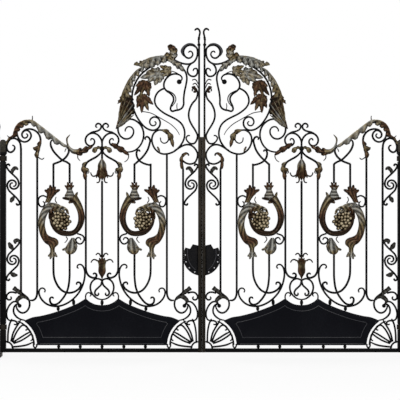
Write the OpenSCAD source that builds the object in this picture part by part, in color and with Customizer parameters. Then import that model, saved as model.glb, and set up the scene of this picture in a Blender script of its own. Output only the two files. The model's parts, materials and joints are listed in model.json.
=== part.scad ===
// Double-leaf ornamental iron gate on two square posts, shown closed.
// The part stands on z = 0 with the origin under the left post.
// x runs along the gate, +y is the side the leaves open to.

/* [Posts] */
// Distance between the axes of the two posts
post_pitch = 4196; // [3400:2:5200]
// Side of the square post tube
post_w = 120; // [90:2:180]
// Wall of the post tube
post_wall = 6; // [4:0.5:12]
// Height of the tube above the ground
post_h = 2190; // [1700:10:2800]
// Side of the square foot
foot_w = 189; // [150:1:260]
// Height of the foot
foot_h = 42; // [30:1:43]
// Side of the post cap
cap_w = 146; // [110:2:156]
// Radius of the ball on the post
ball_r = 84; // [50:1:110]

/* [Hinges] */
// Distance from the post's axis to the hinge line
hinge_off = 110; // [106:1:160]
// Radius of the round journals of the hanging stile
journal_r = 25; // [15:1:28]
// Running clearance of a journal in its collar
journal_fit = 0.05; // [0.01:0.01:0.1]
// Wall of the collar round the journal
collar_wall = 14; // [8:1:16]
// Height of a collar
collar_h = 50; // [30:1:70]
// Gap above and below a collar
collar_gap = 5.5; // [5.5:0.5:12]
// Height of the lower collar's middle above the ground
collar_low = 300; // [250:5:340]
// Height of the upper collar's middle above the ground
collar_high = 1985; // [1500:5:2010]

/* [Leaf frame] */
// Height of the leaf above the ground at its bottom rail
ground_gap = 48; // [48:1:90]
// Height of the bottom rail
rail_h = 38; // [25:1:60]
// Height of the meeting stile's shoulder above the ground
leaf_h = 3120; // [2500:10:3900]
// Width of the hanging stile
stile_w = 60; // [44:1:70]
// Height of the hanging stile's square part
stile_h = 2050; // [1600:10:2500]
// Depth of rails and stiles
frame_d = 40; // [30:1:60]
// Width of the meeting stile
meet_w = 20; // [16:1:30]
// Width of the half-round cover on one meeting stile
cover_w = 34; // [26:1:50]
// How far the cover stands out from the frame
cover_d = 16; // [8:1:30]
// Height of the cover's top above the ground
cover_h = 2200; // [1700:10:2700]
// Gap between the two leaves
meet_gap = 6; // [5.5:0.5:12]

/* [Bars] */
// Width of the upright bars
bar_w = 21; // [14:0.5:26]
// Depth of bars and scrolls
bar_d = 20; // [12:1:28]
// Width of the scrolls
scroll_w = 19; // [12:0.5:23]
// Width of the thin curls
curl_w = 15; // [8:0.5:18]
// Fillet left by the welds
weld_r = 3; // [1:0.5:6]
// Gap left where separate pieces are seated on each other
seat = 0.2; // [0.1:0.05:0.3]

/* [Kick panel] */
// Thickness of the sheet
sheet_t = 6; // [3:0.5:10]
// Width of the raised border
border_w = 58; // [30:1:90]
// Height of the raised border
border_t = 3; // [1:0.5:6]
// Radius of the round studs
stud_r = 17; // [12:0.5:24]

/* [Ornament] */
// Thickness of a leaf plate
leaf_t = 6; // [3:0.5:10]
// Depth of the wreath castings
horn_d = 26; // [20:1:40]
// Radius of a grape
grape_r = 20; // [14:0.5:26]
// Thickness of the lock plate
lock_t = 8; // [4:0.5:14]

/* [Hidden] */
// Sizes that follow from those above
half_span = post_pitch / 2;
in_x = hinge_off + stile_w / 2;
in_end = half_span - meet_gap / 2 - cover_w;
rail_top = ground_gap + rail_h;
collar_r = journal_r + collar_wall;
// The ornament is drawn for this opening and stretched to the real one
drawn_w = 1914;
drawn_h = 3034;
drawn_z = 14;
fx = (in_end - in_x) / drawn_w;
fz = (leaf_h - rail_top) / drawn_h;
mid = drawn_w / 2;
pitch = 161.5;
iron = [0.07, 0.07, 0.08];
patina = [0.36, 0.29, 0.2];
bronze = [0.2, 0.19, 0.17];

SIDES = ["left", "right"];
LEAF_NODES = ["hanging_stile", "stile_journals", "meeting_stile", "meeting_cover", "bottom_rail",
    "kick_panel", "panel_studs", "grille", "side_rosettes", "corner_fans", "shoulder_scrolls",
    "lyre_scrolls", "crest_scrolls", "horse_head", "crest_acanthus", "oak_spray", "shoulder_acanthus",
    "bar_leaves", "wreath_horns", "grapes", "tulips", "lock_plate"];
POST_NODES = ["post", "post_cap", "hinge_collars"];
NODES = [for (s = SIDES) for (n = concat(POST_NODES, LEAF_NODES)) str(s, "_", n)];
node = "all";

// Curves. Points are marked in millimetres on the drawing of one leaf, from the inner face
// of the hanging stile and from a line just above the bottom rail.
function at(p) = [in_x + p.x * fx, rail_top + (p.y + drawn_z) * fz];
function flip(p) = [for (q = p) [2 * mid - q.x, q.y]];
function knot(a, b, c, d, t) = 0.5 * (2 * b + (c - a) * t + (2 * a - 5 * b + 4 * c - d) * t * t
    + (3 * b - a - 3 * c + d) * t * t * t);
function smooth(p, n = 3) = let (m = len(p) - 1) concat([for (i = [0:m - 1]) for (j = [0:n - 1])
    knot(p[max(i - 1, 0)], p[i], p[i + 1], p[min(i + 2, m)], j / n)], [p[m]]);
function volute(c, r0, r1, a0, sweep, n) = [for (i = [0:n]) let (t = i / n, r = r0 + (r1 - r0) * t)
    c + r * [cos(a0 + sweep * t), sin(a0 + sweep * t)]];
function heading(p, i) = let (d = p[min(i + 1, len(p) - 1)] - p[max(i - 1, 0)]) d / norm(d);
function beside(p, i, w) = let (h = heading(p, i)) p[i] + w * [-h.y, h.x];
// Share of the full width at share t of the way along, thinner towards either end
function taper(t, a, b) = min(1, a + (1 - a) * t / 0.3, b + (1 - b) * (1 - t) / 0.3);

// A bar bent along the points, with its ends drawn out to the shares a and b of its width
module bent(p, w = scroll_w, a = 1, b = 0.7, n = 2) {
    c = [for (q = smooth(p, n)) at(q)];
    m = len(c) - 1;
    polygon(concat([for (i = [0:m]) beside(c, i, w / 2 * taper(i / m, a, b))],
        [for (i = [m:-1:0]) beside(c, i, -w / 2 * taper(i / m, a, b))]));
}

module both(p, w = scroll_w, a = 1, b = 0.7) {
    bent(p, w, a, b);
    bent(flip(p), w, a, b);
}

// A straight upright bar between two heights of the drawing
module upright(x, z0, z1) {
    a = at([x, z0]);
    b = at([x, z1]);
    translate([a.x - bar_w / 2, a.y]) square([bar_w, b.y - a.y]);
}

module dot_at(p, r) translate(at(p)) circle(r, $fn = 16);

// Fuses the bars with small weld fillets
module welded() offset(r = -weld_r, $fn = 4) offset(delta = weld_r) children();
module clear_of() offset(delta = seat) children();
// The clear opening between the two stiles, above the rail
module opening() translate([in_x, rail_top]) square([in_end - in_x, leaf_h * 1.1 - rail_top]);
// Stands a drawing upright in the plane of the leaf
module upstand(d, y = 0) translate([0, y + d / 2, 0]) rotate([90, 0, 0]) linear_extrude(d) children();
module one_outline() offset(delta = 0) children();
module hand(s) {
    if (s == "left") children();
    else translate([post_pitch, 0, 0]) mirror([1, 0, 0]) children();
}

// Posts
module post() color(iron) {
    difference() {
        union() {
            translate([-post_w / 2, -post_w / 2, foot_h]) cube([post_w, post_w, post_h - foot_h]);
            translate([-foot_w / 2, -foot_w / 2, 0]) cube([foot_w, foot_w, foot_h]);
        }
        translate([-post_w / 2 + post_wall, -post_w / 2 + post_wall, foot_h])
            cube([post_w - 2 * post_wall, post_w - 2 * post_wall, post_h]);
    }
}

module post_cap() color(bronze) {
    neck_r = ball_r * 0.45;
    translate([0, 0, post_h]) {
        translate([-cap_w / 2, -cap_w / 2, 0]) cube([cap_w, cap_w, 16]);
        translate([0, 0, 16]) cylinder(r1 = cap_w / 2 - 6, r2 = neck_r, h = 14);
        translate([0, 0, 30]) cylinder(r = neck_r, h = ball_r * 0.4);
        translate([0, 0, 30 + ball_r]) sphere(ball_r);
    }
}

module hinge_collar(z) translate([0, 0, z - collar_h / 2]) difference() {
    union() {
        translate([hinge_off, 0, 0]) cylinder(r = collar_r, h = collar_h);
        translate([post_w / 2, -collar_r * 0.7, 0]) cube([hinge_off - post_w / 2, collar_r * 1.4, collar_h]);
    }
    translate([hinge_off, 0, -1]) cylinder(r = journal_r + journal_fit, h = collar_h + 2);
}

module hinge_collars() color(bronze) {
    hinge_collar(collar_low);
    hinge_collar(collar_high);
}

// Frame of a leaf
module stile_length(z0, z1)
    translate([hinge_off - stile_w / 2, -stile_w / 2, z0]) cube([stile_w, stile_w, z1 - z0]);

module hanging_stile() color(iron) {
    stile_length(ground_gap, collar_low - collar_h / 2 - collar_gap);
    stile_length(collar_low + collar_h / 2 + collar_gap, collar_high - collar_h / 2 - collar_gap);
    stile_length(collar_high + collar_h / 2 + collar_gap, stile_h);
}

module stile_journals() color(bronze) {
    run = collar_h + 2 * collar_gap;
    translate([hinge_off, 0, collar_low - run / 2]) cylinder(r = journal_r, h = run);
    translate([hinge_off, 0, collar_high - run / 2]) cylinder(r = journal_r, h = run);
    // Square cap on top of the stile with a low dome
    translate([hinge_off - stile_w / 2, -stile_w / 2, stile_h]) cube([stile_w, stile_w, 108]);
    translate([hinge_off, 0, stile_h + 108]) scale([1, 1, 0.6]) sphere(stile_w / 2 - 2);
}

module meeting_stile() color(iron) {
    translate([in_end, -frame_d / 2, ground_gap]) cube([meet_w, frame_d, leaf_h - ground_gap]);
    upstand(bar_d) one_outline() {
        top = leaf_h - 0.5;
        c = smooth([[10, 0], [6, 45], [11, 85], [18, 122], [12, 152], [-6, 167], [-26, 160], [-34, 144]], 3);
        p = [for (q = c) [in_end + q.x * meet_w / 20, top + q.y * fz]];
        m = len(p) - 1;
        polygon(concat([for (i = [0:m]) beside(p, i, meet_w * (0.52 - 0.3 * i / m))],
            [for (i = [m:-1:0]) beside(p, i, -meet_w * (0.52 - 0.3 * i / m))]));
    }
}

module meeting_cover() color(bronze) for (s = [-1, 1]) scale([1, s, 1])
    translate([0, 0, ground_gap]) linear_extrude(cover_h - ground_gap) {
        x1 = half_span - meet_gap / 2;
        polygon(concat([[x1, frame_d / 2], [in_end, frame_d / 2], [in_end, frame_d / 2 + 4]],
            [for (i = [0:6]) [in_end + 4 + (cover_w - 4) * sin(15 * i), frame_d / 2 + 4
                + (cover_d - 4) * (1 - cos(15 * i))]]));
    }

module bottom_rail() color(iron)
    translate([in_x, -frame_d / 2, ground_gap]) cube([in_end - in_x, frame_d, rail_h]);

// Kick panel
panel_edge = [[190, 268], [265, 298], [340, 310], [440, 334], [540, 366], [640, 404], [720, 440], [795, 487]];
panel_dip = [[795, 487], [836, 452], [892, 426], [957, 418]];
function panel_side() = concat([for (i = [0:6]) [15, 15] + 294 * [cos(5 + 8.3 * i), sin(5 + 8.3 * i)]],
    smooth(panel_edge), smooth(panel_dip));
module panel_2d() {
    p = panel_side();
    b = [[308, 18]];
    q = concat(b, p, [for (i = [len(p) - 2:-1:0]) flip([p[i]])[0]], flip(b));
    polygon([for (v = q) at(v)]);
}

module kick_panel() color(iron) {
    upstand(sheet_t) one_outline() panel_2d();
    for (s = [-1, 1]) upstand(border_t, s * (sheet_t + border_t) / 2) one_outline() difference() {
        panel_2d();
        offset(delta = -border_w) panel_2d();
    }
}

module panel_studs() color(patina) {
    for (x = [525, 740, 957, 1174, 1389]) {
        a = at([x, 18]);
        translate([a.x, 0, rail_top]) stud(a.y - rail_top);
    }
    upstand(bar_d * 1.4) one_outline() difference() {
        twin() {
            translate(at([520, 382])) scale([1, 1.6]) circle(stud_r, $fn = 16);
            translate(at([674, 448])) scale([1, 2.2]) circle(stud_r, $fn = 16);
            translate(at([mid, 443])) scale([1, 1.8]) circle(stud_r, $fn = 16);
        }
        clear_of() grille_2d();
        clear_of() panel_2d();
    }
}
module stud(h) intersection() {
    translate([0, 0, h / 2]) sphere(max(stud_r, h * 0.6));
    translate([0, 0, h / 2]) cube([4 * stud_r, 4 * stud_r, h], center = true);
}

// Grille of uprights with bent feet, loops and crossing tops
loop = [[384, 546], [390, 567], [377, 585], [354, 588], [336, 574], [329, 547], [336, 510], [360, 470],
    [400, 434], [450, 413], [510, 407], [570, 420], [630, 450], [685, 495], [730, 550], [763, 615],
    [782, 685], [786, 745], [776, 790], [758, 817], [734, 826], [714, 816], [710, 797], [723, 786]];
foot_1 = [[795.5, 790], [800, 755], [820, 717], [850, 697], [880, 691], [900, 704], [899, 728], [880, 738],
    [866, 727]];
foot_2 = [[634, 720], [630, 660], [620, 595], [600, 540], [565, 484], [522, 438], [480, 423], [447, 439],
    [437, 473], [446, 494], [464, 497], [473, 483]];
foot_3 = [[472.5, 790], [476, 720], [492, 660], [523, 602], [566, 560], [620, 542], [675, 550], [720, 577],
    [745, 612], [741, 638], [718, 648], [704, 638], [705, 623]];
foot_4 = [[311, 570], [308, 520], [293, 484], [268, 467], [240, 467]];
ring = [[957, 664], [935, 678], [905, 683], [873, 669], [849, 638], [840, 595], [850, 548], [877, 510],
    [915, 483], [957, 474]];
heart = [[957, 664], [946, 622], [922, 596], [896, 571], [885, 544], [894, 521], [912, 516], [923, 528],
    [919, 543]];
peak_curl = [[795, 470], [796, 510], [809, 534], [832, 542], [850, 528], [846, 509]];
arm = [[795.5, 1690], [788, 1750], [788, 1805], [810, 1847], [850, 1874], [900, 1902], [940, 1938],
    [957, 1980]];
cross_2 = [[1280, 1826], [1325, 1865], [1370, 1910], [1410, 1970], [1430, 2030], [1436, 2065], [1424, 2092],
    [1403, 2103], [1386, 2090], [1390, 2071]];
cross_3 = [[1441.5, 1818], [1400, 1827], [1360, 1842], [1328, 1865], [1306, 1900], [1300, 1940], [1310, 1964],
    [1329, 1968], [1334, 1952]];
cross_m2 = [[634, 1830], [600, 1852], [562, 1868], [515, 1910], [472, 1960], [448, 2010], [445, 2045],
    [456, 2070]];
cross_m3 = [[472.5, 1830], [520, 1847], [562, 1868], [600, 1902], [623, 1944], [623, 1975], [605, 2000]];
top_m4 = [[311, 1900], [326, 1970], [340, 2025], [344, 2075], [333, 2117], [306, 2152], [270, 2173],
    [230, 2180], [190, 2172], [163, 2150]];
top_m5 = [[149.5, 1980], [142, 2035], [118, 2070], [80, 2087], [43, 2078], [18, 2045], [6, 2000], [18, 1962],
    [45, 1947], [74, 1962], [88, 1990], [79, 2012], [62, 2018]];
top_5 = [[1764.5, 1770], [1754, 1840], [1750, 1885], [1763, 1920], [1790, 1938], [1814, 1930], [1820, 1912]];

module grille_2d() welded() intersection() {
    opening();
    union() {
        upright(mid, 920, 1640);
        upright(mid, 1895, 1990);
        for (s = [-1, 1]) {
            upright(mid + s * pitch, 780, 1700);
            upright(mid + 2 * s * pitch, 710, 930);
            upright(mid + 2 * s * pitch, 1640, 1834);
            upright(mid + 3 * s * pitch, 780, 890);
            upright(mid + 3 * s * pitch, 1600, 1834);
        }
        upright(mid - 4 * pitch, 560, 1910);
        upright(mid + 4 * pitch, 560, 1926);
        upright(mid - 5 * pitch, 540, 1990);
        upright(mid + 5 * pitch, 540, 1780);
        both(loop, b = 0.7, a = 0.7);
        both(foot_1, bar_w);
        both(foot_2, bar_w);
        both(foot_3, bar_w);
        both(foot_4, bar_w);
        both(ring);
        both(heart);
        both(arm, bar_w);
        bent(cross_2, bar_w);
        bent(cross_3, bar_w);
        bent(cross_m2, bar_w);
        bent(cross_m3, bar_w);
        bent(top_m4, bar_w);
        bent(top_m5, bar_w);
        bent(top_5, bar_w);
        bent([[4, 1930], [4, 1955], [5, 1975], [8, 2000]], curl_w - 4);
    }
}

module grille() color(iron) upstand(bar_d) one_outline() difference() {
    grille_2d();
    clear_of() panel_2d();
}

// Double spirals between the outer uprights and the stiles
rosette_arm = concat([[38, 1810], [26, 1828], [4, 1816], [14, 1785], [40, 1752], [78, 1716], [113, 1680]],
    volute([70, 1624], 60, 15, 20, -290, 8));
function turned(p, c) = [for (q = p) 2 * c - q];
function upended(p, z) = [for (q = p) [q.x, 2 * z - q.y]];
// Short ties weld each spiral to the bar and to the stile beside it
rosette_ties = [[[120, 1640], [149.5, 1640]], [[-6, 1816], [8, 1816]]];
module rosette(p, ties, c) {
    for (q = concat([p], ties)) {
        bent(q, curl_w + 2, 1, len(q) > 2 ? 0.7 : 1);
        bent(turned(q, c), curl_w + 2, 1, len(q) > 2 ? 0.7 : 1);
    }
}
module side_rosettes() color(iron) upstand(bar_d) one_outline() difference() {
    welded() intersection() {
        opening();
        union() {
            rosette(rosette_arm, rosette_ties, [70, 1624]);
            rosette(upended(rosette_arm, 1247), [for (q = rosette_ties) upended(q, 1247)], [70, 870]);
            rosette(flip(rosette_arm), [for (q = rosette_ties) flip(q)], [2 * mid - 70, 1624]);
        }
    }
    clear_of() grille_2d();
}

// Scrolls and fans in the lower corners
corner_curl = [[105, 538], [70, 548], [36, 545], [12, 524], [5, 496], [20, 474], [44, 474], [54, 491],
    [44, 504]];
corner_ring = [[150, 560], [158, 540], [185, 518], [216, 490], [234, 450], [232, 402], [208, 360], [170, 341],
    [134, 352], [110, 382], [103, 415], [118, 438]];
corner_c = [[132, 425], [105, 452], [70, 450], [38, 422], [15, 380], [5, 330], [15, 284], [40, 266],
    [62, 280]];
corner_s = [[128, 434], [96, 420], [77, 385], [78, 342], [103, 304], [143, 278], [190, 266]];
fan_ribs = [[[18, 40], [20, 130], [29, 200], [46, 254], [70, 264], [100, 255], [110, 237], [96, 224],
    [78, 228]], [[50, 55], [70, 135], [100, 195], [132, 245], [143, 268]], [[62, 48], [93, 125], [126, 180],
    [160, 215], [190, 214], [212, 194], [207, 172], [192, 170]], [[66, 45], [140, 92], [200, 130],
    [252, 156]], [[75, 35], [150, 64], [210, 100], [250, 127], [266, 105], [263, 75], [245, 62]], [[55, 0],
    [140, 8], [210, 22], [278, 52]]];
module corner_2d() {
    bent(corner_curl, curl_w + 3);
    bent(corner_ring);
    bent(corner_c, curl_w + 3);
    bent(corner_s, curl_w + 3);
    dot_at([136, 412], 20);
    for (p = fan_ribs) bent(p, curl_w);
    bent(volute([15, 15], 265, 265, 1, 66, 9), curl_w);
    bent(volute([-4, -18], 72, 72, -4, 98, 6), curl_w, 1, 1);
    bent([[276, 60], [275, 10], [292, -10], [306, 10], [305, 30]], curl_w, 1, 1);
}
module corner_fans() color(iron) upstand(bar_d) one_outline() difference() {
    welded() intersection() {
        opening();
        union() {
            corner_2d();
            translate([2 * at([mid, 0]).x, 0]) mirror([1, 0]) corner_2d();
        }
    }
    clear_of() grille_2d();
    clear_of() panel_2d();
}

// Scrolls over the hanging side
shoulder_spiral = [[112, 2180], [109, 2140], [123, 2092], [153, 2060], [193, 2051], [230, 2070], [250, 2107],
    [242, 2142], [215, 2165], [183, 2161], [161, 2137], [162, 2108], [182, 2090], [207, 2097], [216, 2119],
    [202, 2134]];
module shoulder_scrolls() color(iron) upstand(bar_d) one_outline() difference() {
    welded() {
        bent(shoulder_spiral);
        bent([[80, 2080], [84, 2120], [98, 2160], [130, 2200], [180, 2232], [250, 2245], [310, 2215],
            [400, 2148],
            [480, 2088], [550, 2040], [600, 2010], [622, 1990], [650, 1965], [710, 1952], [780, 1970],
                [815, 1990]],
            b = 1);
        bent([[312, 1908], [340, 1884], [362, 1878], [380, 1892]], curl_w - 4);
    }
    clear_of() grille_2d();
    clear_of() lyre_2d();
}

// Lyre over the middle of the leaf
lyre_c = [[957, 1990], [956, 2050], [940, 2092], [910, 2124], [873, 2138], [833, 2132], [802, 2104],
    [791, 2067], [804, 2030], [836, 2011], [868, 2021], [883, 2050], [874, 2077], [852, 2083], [842, 2065]];
lyre_s = [[825, 2128], [860, 2148], [900, 2157], [933, 2173], [949, 2200], [942, 2224], [920, 2235],
    [899, 2224], [895, 2204], [910, 2195]];
module lyre_2d() welded() {
    both(lyre_c);
    both(lyre_s);
    dot_at([mid, 1985], 26);
}
module lyre_scrolls() color(iron) upstand(bar_d) one_outline() difference() {
    lyre_2d();
    clear_of() grille_2d();
}

// Crown beside the meeting stile
crown_left = [[1188, 2155], [1190, 2177], [1213, 2201], [1248, 2198], [1270, 2168], [1266, 2126],
    [1236, 2090], [1190, 2081], [1148, 2102], [1122, 2142], [1116, 2190], [1128, 2245], [1165, 2275],
    [1210, 2279], [1265, 2275], [1315, 2247], [1353, 2200], [1371, 2140], [1365, 2075], [1335, 2012],
    [1285, 1967], [1223, 1950], [1165, 1957], [1115, 1982], [1075, 2008]];
crown_arch = [[1675, 2872], [1600, 2840], [1530, 2810], [1460, 2792], [1405, 2774], [1350, 2730],
    [1303, 2667], [1270, 2590], [1256, 2505], [1262, 2415], [1288, 2335], [1327, 2265], [1375, 2207],
    [1430, 2173], [1485, 2170], [1525, 2200], [1536, 2247], [1516, 2287], [1478, 2300], [1443, 2282],
    [1432, 2247], [1450, 2217], [1481, 2216], [1495, 2240], [1480, 2257]];
crown_top = [[1660, 2880], [1725, 2847], [1780, 2831], [1830, 2831], [1874, 2853], [1900, 2895],
    [1908, 2945], [1900, 2990], [1864, 3015], [1820, 3017], [1785, 2994], [1769, 2955], [1778, 2915],
    [1808, 2890], [1840, 2894], [1860, 2920], [1854, 2947], [1833, 2958], [1817, 2944]];
crown_eye = [[1845, 2835], [1820, 2807], [1808, 2770], [1816, 2734], [1844, 2710], [1882, 2708], [1904, 2732],
    [1908, 2762], [1898, 2784], [1873, 2780], [1863, 2760]];
crown_lyre = [[1856, 2557], [1858, 2580], [1880, 2590], [1900, 2570], [1908, 2530], [1894, 2480],
    [1856, 2434], [1830, 2380], [1820, 2322], [1829, 2267], [1855, 2215], [1886, 2165], [1908, 2115],
    [1900, 2070], [1876, 2037], [1838, 2035], [1808, 2058], [1795, 2090], [1812, 2113], [1833, 2114]];
crown_low = [[1680, 1962], [1745, 2004], [1795, 2023], [1843, 2017], [1882, 1985], [1908, 1935], [1902, 1882],
    [1878, 1843], [1835, 1830], [1793, 1840], [1762, 1862]];
module crest_2d() intersection() {
    opening();
    union() {
        bent(crown_left, a = 0.7);
        bent(crown_arch);
        bent(crown_top);
        bent(crown_eye);
        bent(crown_lyre, a = 0.7);
        bent(crown_low, b = 1);
        bent([[1855, 2667], [1878, 2677], [1898, 2664], [1914, 2630]], curl_w - 4);
        bent([[1860, 2625], [1883, 2637], [1900, 2624], [1914, 2590]], curl_w - 4);
    }
}
module crest_scrolls() color(iron) upstand(bar_d) one_outline() difference() {
    welded() crest_2d();
    clear_of() grille_2d();
    clear_of() lyre_2d();
    clear_of() horse_2d();
}

// Horse head with its neck running into a ring
jaw = [[1728, 2655], [1749, 2670], [1753, 2694], [1730, 2720], [1685, 2731], [1638, 2720], [1598, 2686],
    [1575, 2640], [1576, 2595], [1602, 2560], [1640, 2534], [1666, 2500], [1668, 2460], [1648, 2417],
    [1639, 2380], [1655, 2358], [1685, 2364], [1715, 2372]];
brow = [[1675, 2842], [1720, 2822], [1763, 2785], [1792, 2740], [1802, 2685], [1793, 2620], [1778, 2550],
    [1770, 2480], [1770, 2427], [1753, 2390], [1720, 2371], [1690, 2366]];
neck = [[1582, 2587], [1545, 2572], [1510, 2543], [1487, 2500], [1482, 2452], [1499, 2407], [1538, 2366],
    [1590, 2330], [1650, 2300], [1705, 2270], [1750, 2230], [1776, 2175], [1780, 2115], [1763, 2055],
    [1726, 2000], [1673, 1955], [1610, 1932], [1548, 1934], [1494, 1970], [1462, 2025], [1454, 2085],
    [1473, 2137], [1513, 2166], [1555, 2168], [1595, 2152], [1620, 2116], [1620, 2076], [1603, 2048],
    [1573, 2038], [1545, 2057], [1538, 2095]];
module horse_2d() welded() {
    bent(jaw, a = 0.7, b = 1);
    bent(brow, b = 1);
    bent(neck, b = 0.6);
    dot_at([1726, 2652], 24);
    bent([[1584, 2572], [1635, 2552], [1674, 2525], [1692, 2485], [1684, 2447], [1655, 2405]], 8, 1, 1);
    bent([[1706, 2440], [1702, 2405], [1708, 2372]], 8, 1, 1);
    bent([[1290, 2340], [1365, 2362], [1440, 2340], [1515, 2302], [1575, 2268], [1635, 2232], [1683, 2190],
        [1714, 2150], [1729, 2120]], 7);
}
module horse_head() color(iron) upstand(bar_d) one_outline() difference() {
    horse_2d();
    clear_of() grille_2d();
}

// Leaves: lobed plates on the front and back faces of the bars
function lobe(t, n, cut) = 1 - cut * (1 - abs(sin(180 * n * t)));
function swell(t) = pow(sin(180 * min(1, 0.04 + 0.96 * t)), 0.55);
module lobed(p, w, n = 5, cut = 0.45, other = 0) {
    c = [for (q = smooth(p, 4)) at(q)];
    m = len(c) - 1;
    k = [for (i = [0:m]) swell(i / m) * lobe(i / m, n, cut)];
    v = other > 0 ? other : w;
    polygon(concat([for (i = [0:m]) beside(c, i, w * k[i])], [for (i = [m:-1:0]) beside(c, i, -v * k[i])]));
}
module leaf_plates() for (s = [-1, 1]) upstand(leaf_t, s * (bar_d + leaf_t) / 2) one_outline() children();

module crest_acanthus() color(patina) leaf_plates() acanthus_2d();
module acanthus_2d() welded() {
    lobed([[1660, 2916], [1600, 2896], [1520, 2880], [1440, 2850], [1366, 2800], [1306, 2738],
        [1254, 2655]], 66, 6, 0.4, 34);
    lobed([[1320, 2750], [1246, 2645], [1216, 2565], [1196, 2490], [1186, 2420]], 84, 4, 0.4, 36);
    lobed([[1204, 2530], [1178, 2430], [1156, 2345], [1128, 2262], [1098, 2170]], 122, 5, 0.4, 46);
    lobed([[1590, 2880], [1640, 2902], [1674, 2945], [1672, 2990], [1645, 3006]], 40, 4, 0.3);
}
module oak_spray() color(patina) leaf_plates() difference() {
    oak_2d();
    clear_of() acanthus_2d();
}
module oak_2d() {
    lobed([[1640, 2764], [1570, 2762], [1508, 2736]], 70, 3, 0.45, 58);
    lobed([[1560, 2776], [1450, 2716], [1378, 2640]], 96, 3, 0.45, 42);
    lobed([[1424, 2700], [1398, 2590], [1384, 2480]], 92, 3);
    lobed([[1366, 2560], [1382, 2440], [1362, 2322]], 104, 3, 0.45, 80);
}
module shoulder_acanthus() color(patina) leaf_plates() {
    lobed([[40, 2000], [44, 2070], [72, 2130], [112, 2185], [165, 2230], [230, 2255], [290, 2270]], 28, 5);
    lobed([[262, 2270], [330, 2200], [410, 2135], [480, 2080], [550, 2035], [600, 2010]], 40, 6);
    lobed([[615, 2120], [612, 2040], [640, 1980], [710, 1955], [780, 1975], [850, 2005]], 26, 6);
}
module bar_leaves() color(patina) leaf_plates() {
    lobed([[345, 2060], [325, 1990], [308, 1900]], 28, 3);
    for (f = [0, 1]) {
        leaves = [[[805, 1850], [780, 1800], [782, 1750], [795, 1680]], [[945, 1965], [915, 1978],
            [870, 1980]], [[145, 545], [110, 572], [72, 592]], [[188, 515], [150, 486], [112, 455]]];
        for (p = leaves) lobed(f == 0 ? p : flip(p), 22, 3);
    }
    lobed([[1560, 2168], [1618, 2135], [1642, 2080], [1655, 2015]], 24, 3);
    lobed([[1655, 2850], [1710, 2815], [1760, 2770]], 30, 3);
    lobed([[1805, 1935], [1762, 1915], [1748, 1870], [1755, 1785]], 18, 3);
    lobed([[1080, 2005], [1130, 1972], [1190, 1955]], 24, 3);
}

// Grape wreaths, drawn for the one nearer the meeting stile
horn_a = [[1310, 1480], [1240, 1530], [1205, 1510], [1160, 1430], [1135, 1350], [1132, 1280], [1150, 1210],
    [1190, 1150], [1240, 1115], [1320, 1108], [1375, 1130], [1425, 1175], [1445, 1225], [1400, 1195],
    [1340, 1165], [1270, 1160], [1230, 1172], [1212, 1220], [1195, 1270], [1200, 1340], [1220, 1390],
    [1280, 1435], [1345, 1480]];
horn_b = [[1335, 1390], [1390, 1430], [1440, 1440], [1500, 1432], [1545, 1390], [1575, 1340], [1588, 1280],
    [1590, 1220], [1585, 1160], [1568, 1100], [1530, 1040], [1490, 1015], [1440, 1010], [1400, 1040],
    [1410, 1085], [1460, 1105], [1505, 1122], [1515, 1160], [1525, 1220], [1515, 1280], [1495, 1340],
    [1460, 1370], [1400, 1380]];
bell = [[1205, 1090], [1270, 1115], [1312, 1030], [1348, 978], [1312, 968], [1305, 940], [1275, 918],
    [1240, 935], [1215, 980], [1206, 1040]];
trumpet = [[1375, 1572], [1412, 1588], [1450, 1620], [1482, 1590], [1525, 1570], [1500, 1535], [1510, 1485],
    [1528, 1430], [1480, 1425], [1450, 1490], [1412, 1530]];
cup = [[1425, 1030], [1415, 1000], [1432, 965], [1405, 885], [1478, 885], [1462, 965], [1480, 1000],
    [1475, 1030]];
star = [[1255, 1500], [1262, 1555], [1240, 1585], [1252, 1632], [1280, 1648], [1308, 1632], [1322, 1585],
    [1298, 1555], [1310, 1500]];
curl_a = [[1190, 1140], [1150, 1115], [1135, 1080], [1148, 1045], [1180, 1032], [1210, 1045], [1220, 1070],
    [1200, 1090], [1175, 1087], [1165, 1070]];
curl_b = [[1505, 1470], [1525, 1510], [1550, 1516], [1577, 1497], [1586, 1460], [1575, 1422], [1545, 1403]];
bunch = [1355, 1278];
module twin() {
    children();
    translate([2 * at([mid, 0]).x, 0]) mirror([1, 0]) children();
}
module cast_shape(p) polygon([for (q = smooth(concat(p, [p[0]]), 2)) at(q)]);
module wreath_2d() twin() {
    for (p = [horn_a, horn_b, bell, trumpet, cup, star]) cast_shape(p);
    bent(curl_a, curl_w + 2);
    bent(curl_b, curl_w + 2);
    translate(at(bunch)) scale([fx, fz]) circle(92, $fn = 24);
}
module wreath_horns() color(patina) upstand(horn_d) one_outline() difference() {
    welded() wreath_2d();
    clear_of() grille_2d();
}
// Half a bunch of grapes on a flat back, heaped towards its middle
module half_bunch() difference() {
    union() for (k = [0:2]) for (i = [0:max(0, 6 * k - 1)]) {
        r = 1.8 * grape_r * k;
        a = 60 * i / max(k, 1) + 15 * k;
        translate([r * cos(a), -24 * (1 - pow(r / 100, 2)), r * sin(a)]) sphere(grape_r);
    }
    translate([-200, 0, -200]) cube([400, 200, 400]);
}
module grapes() color(patina) for (p = [bunch, flip([bunch])[0]]) translate([at(p).x, 0, at(p).y]) {
    translate([0, -horn_d / 2, 0]) half_bunch();
    mirror([0, 1, 0]) translate([0, -horn_d / 2, 0]) half_bunch();
}

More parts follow.
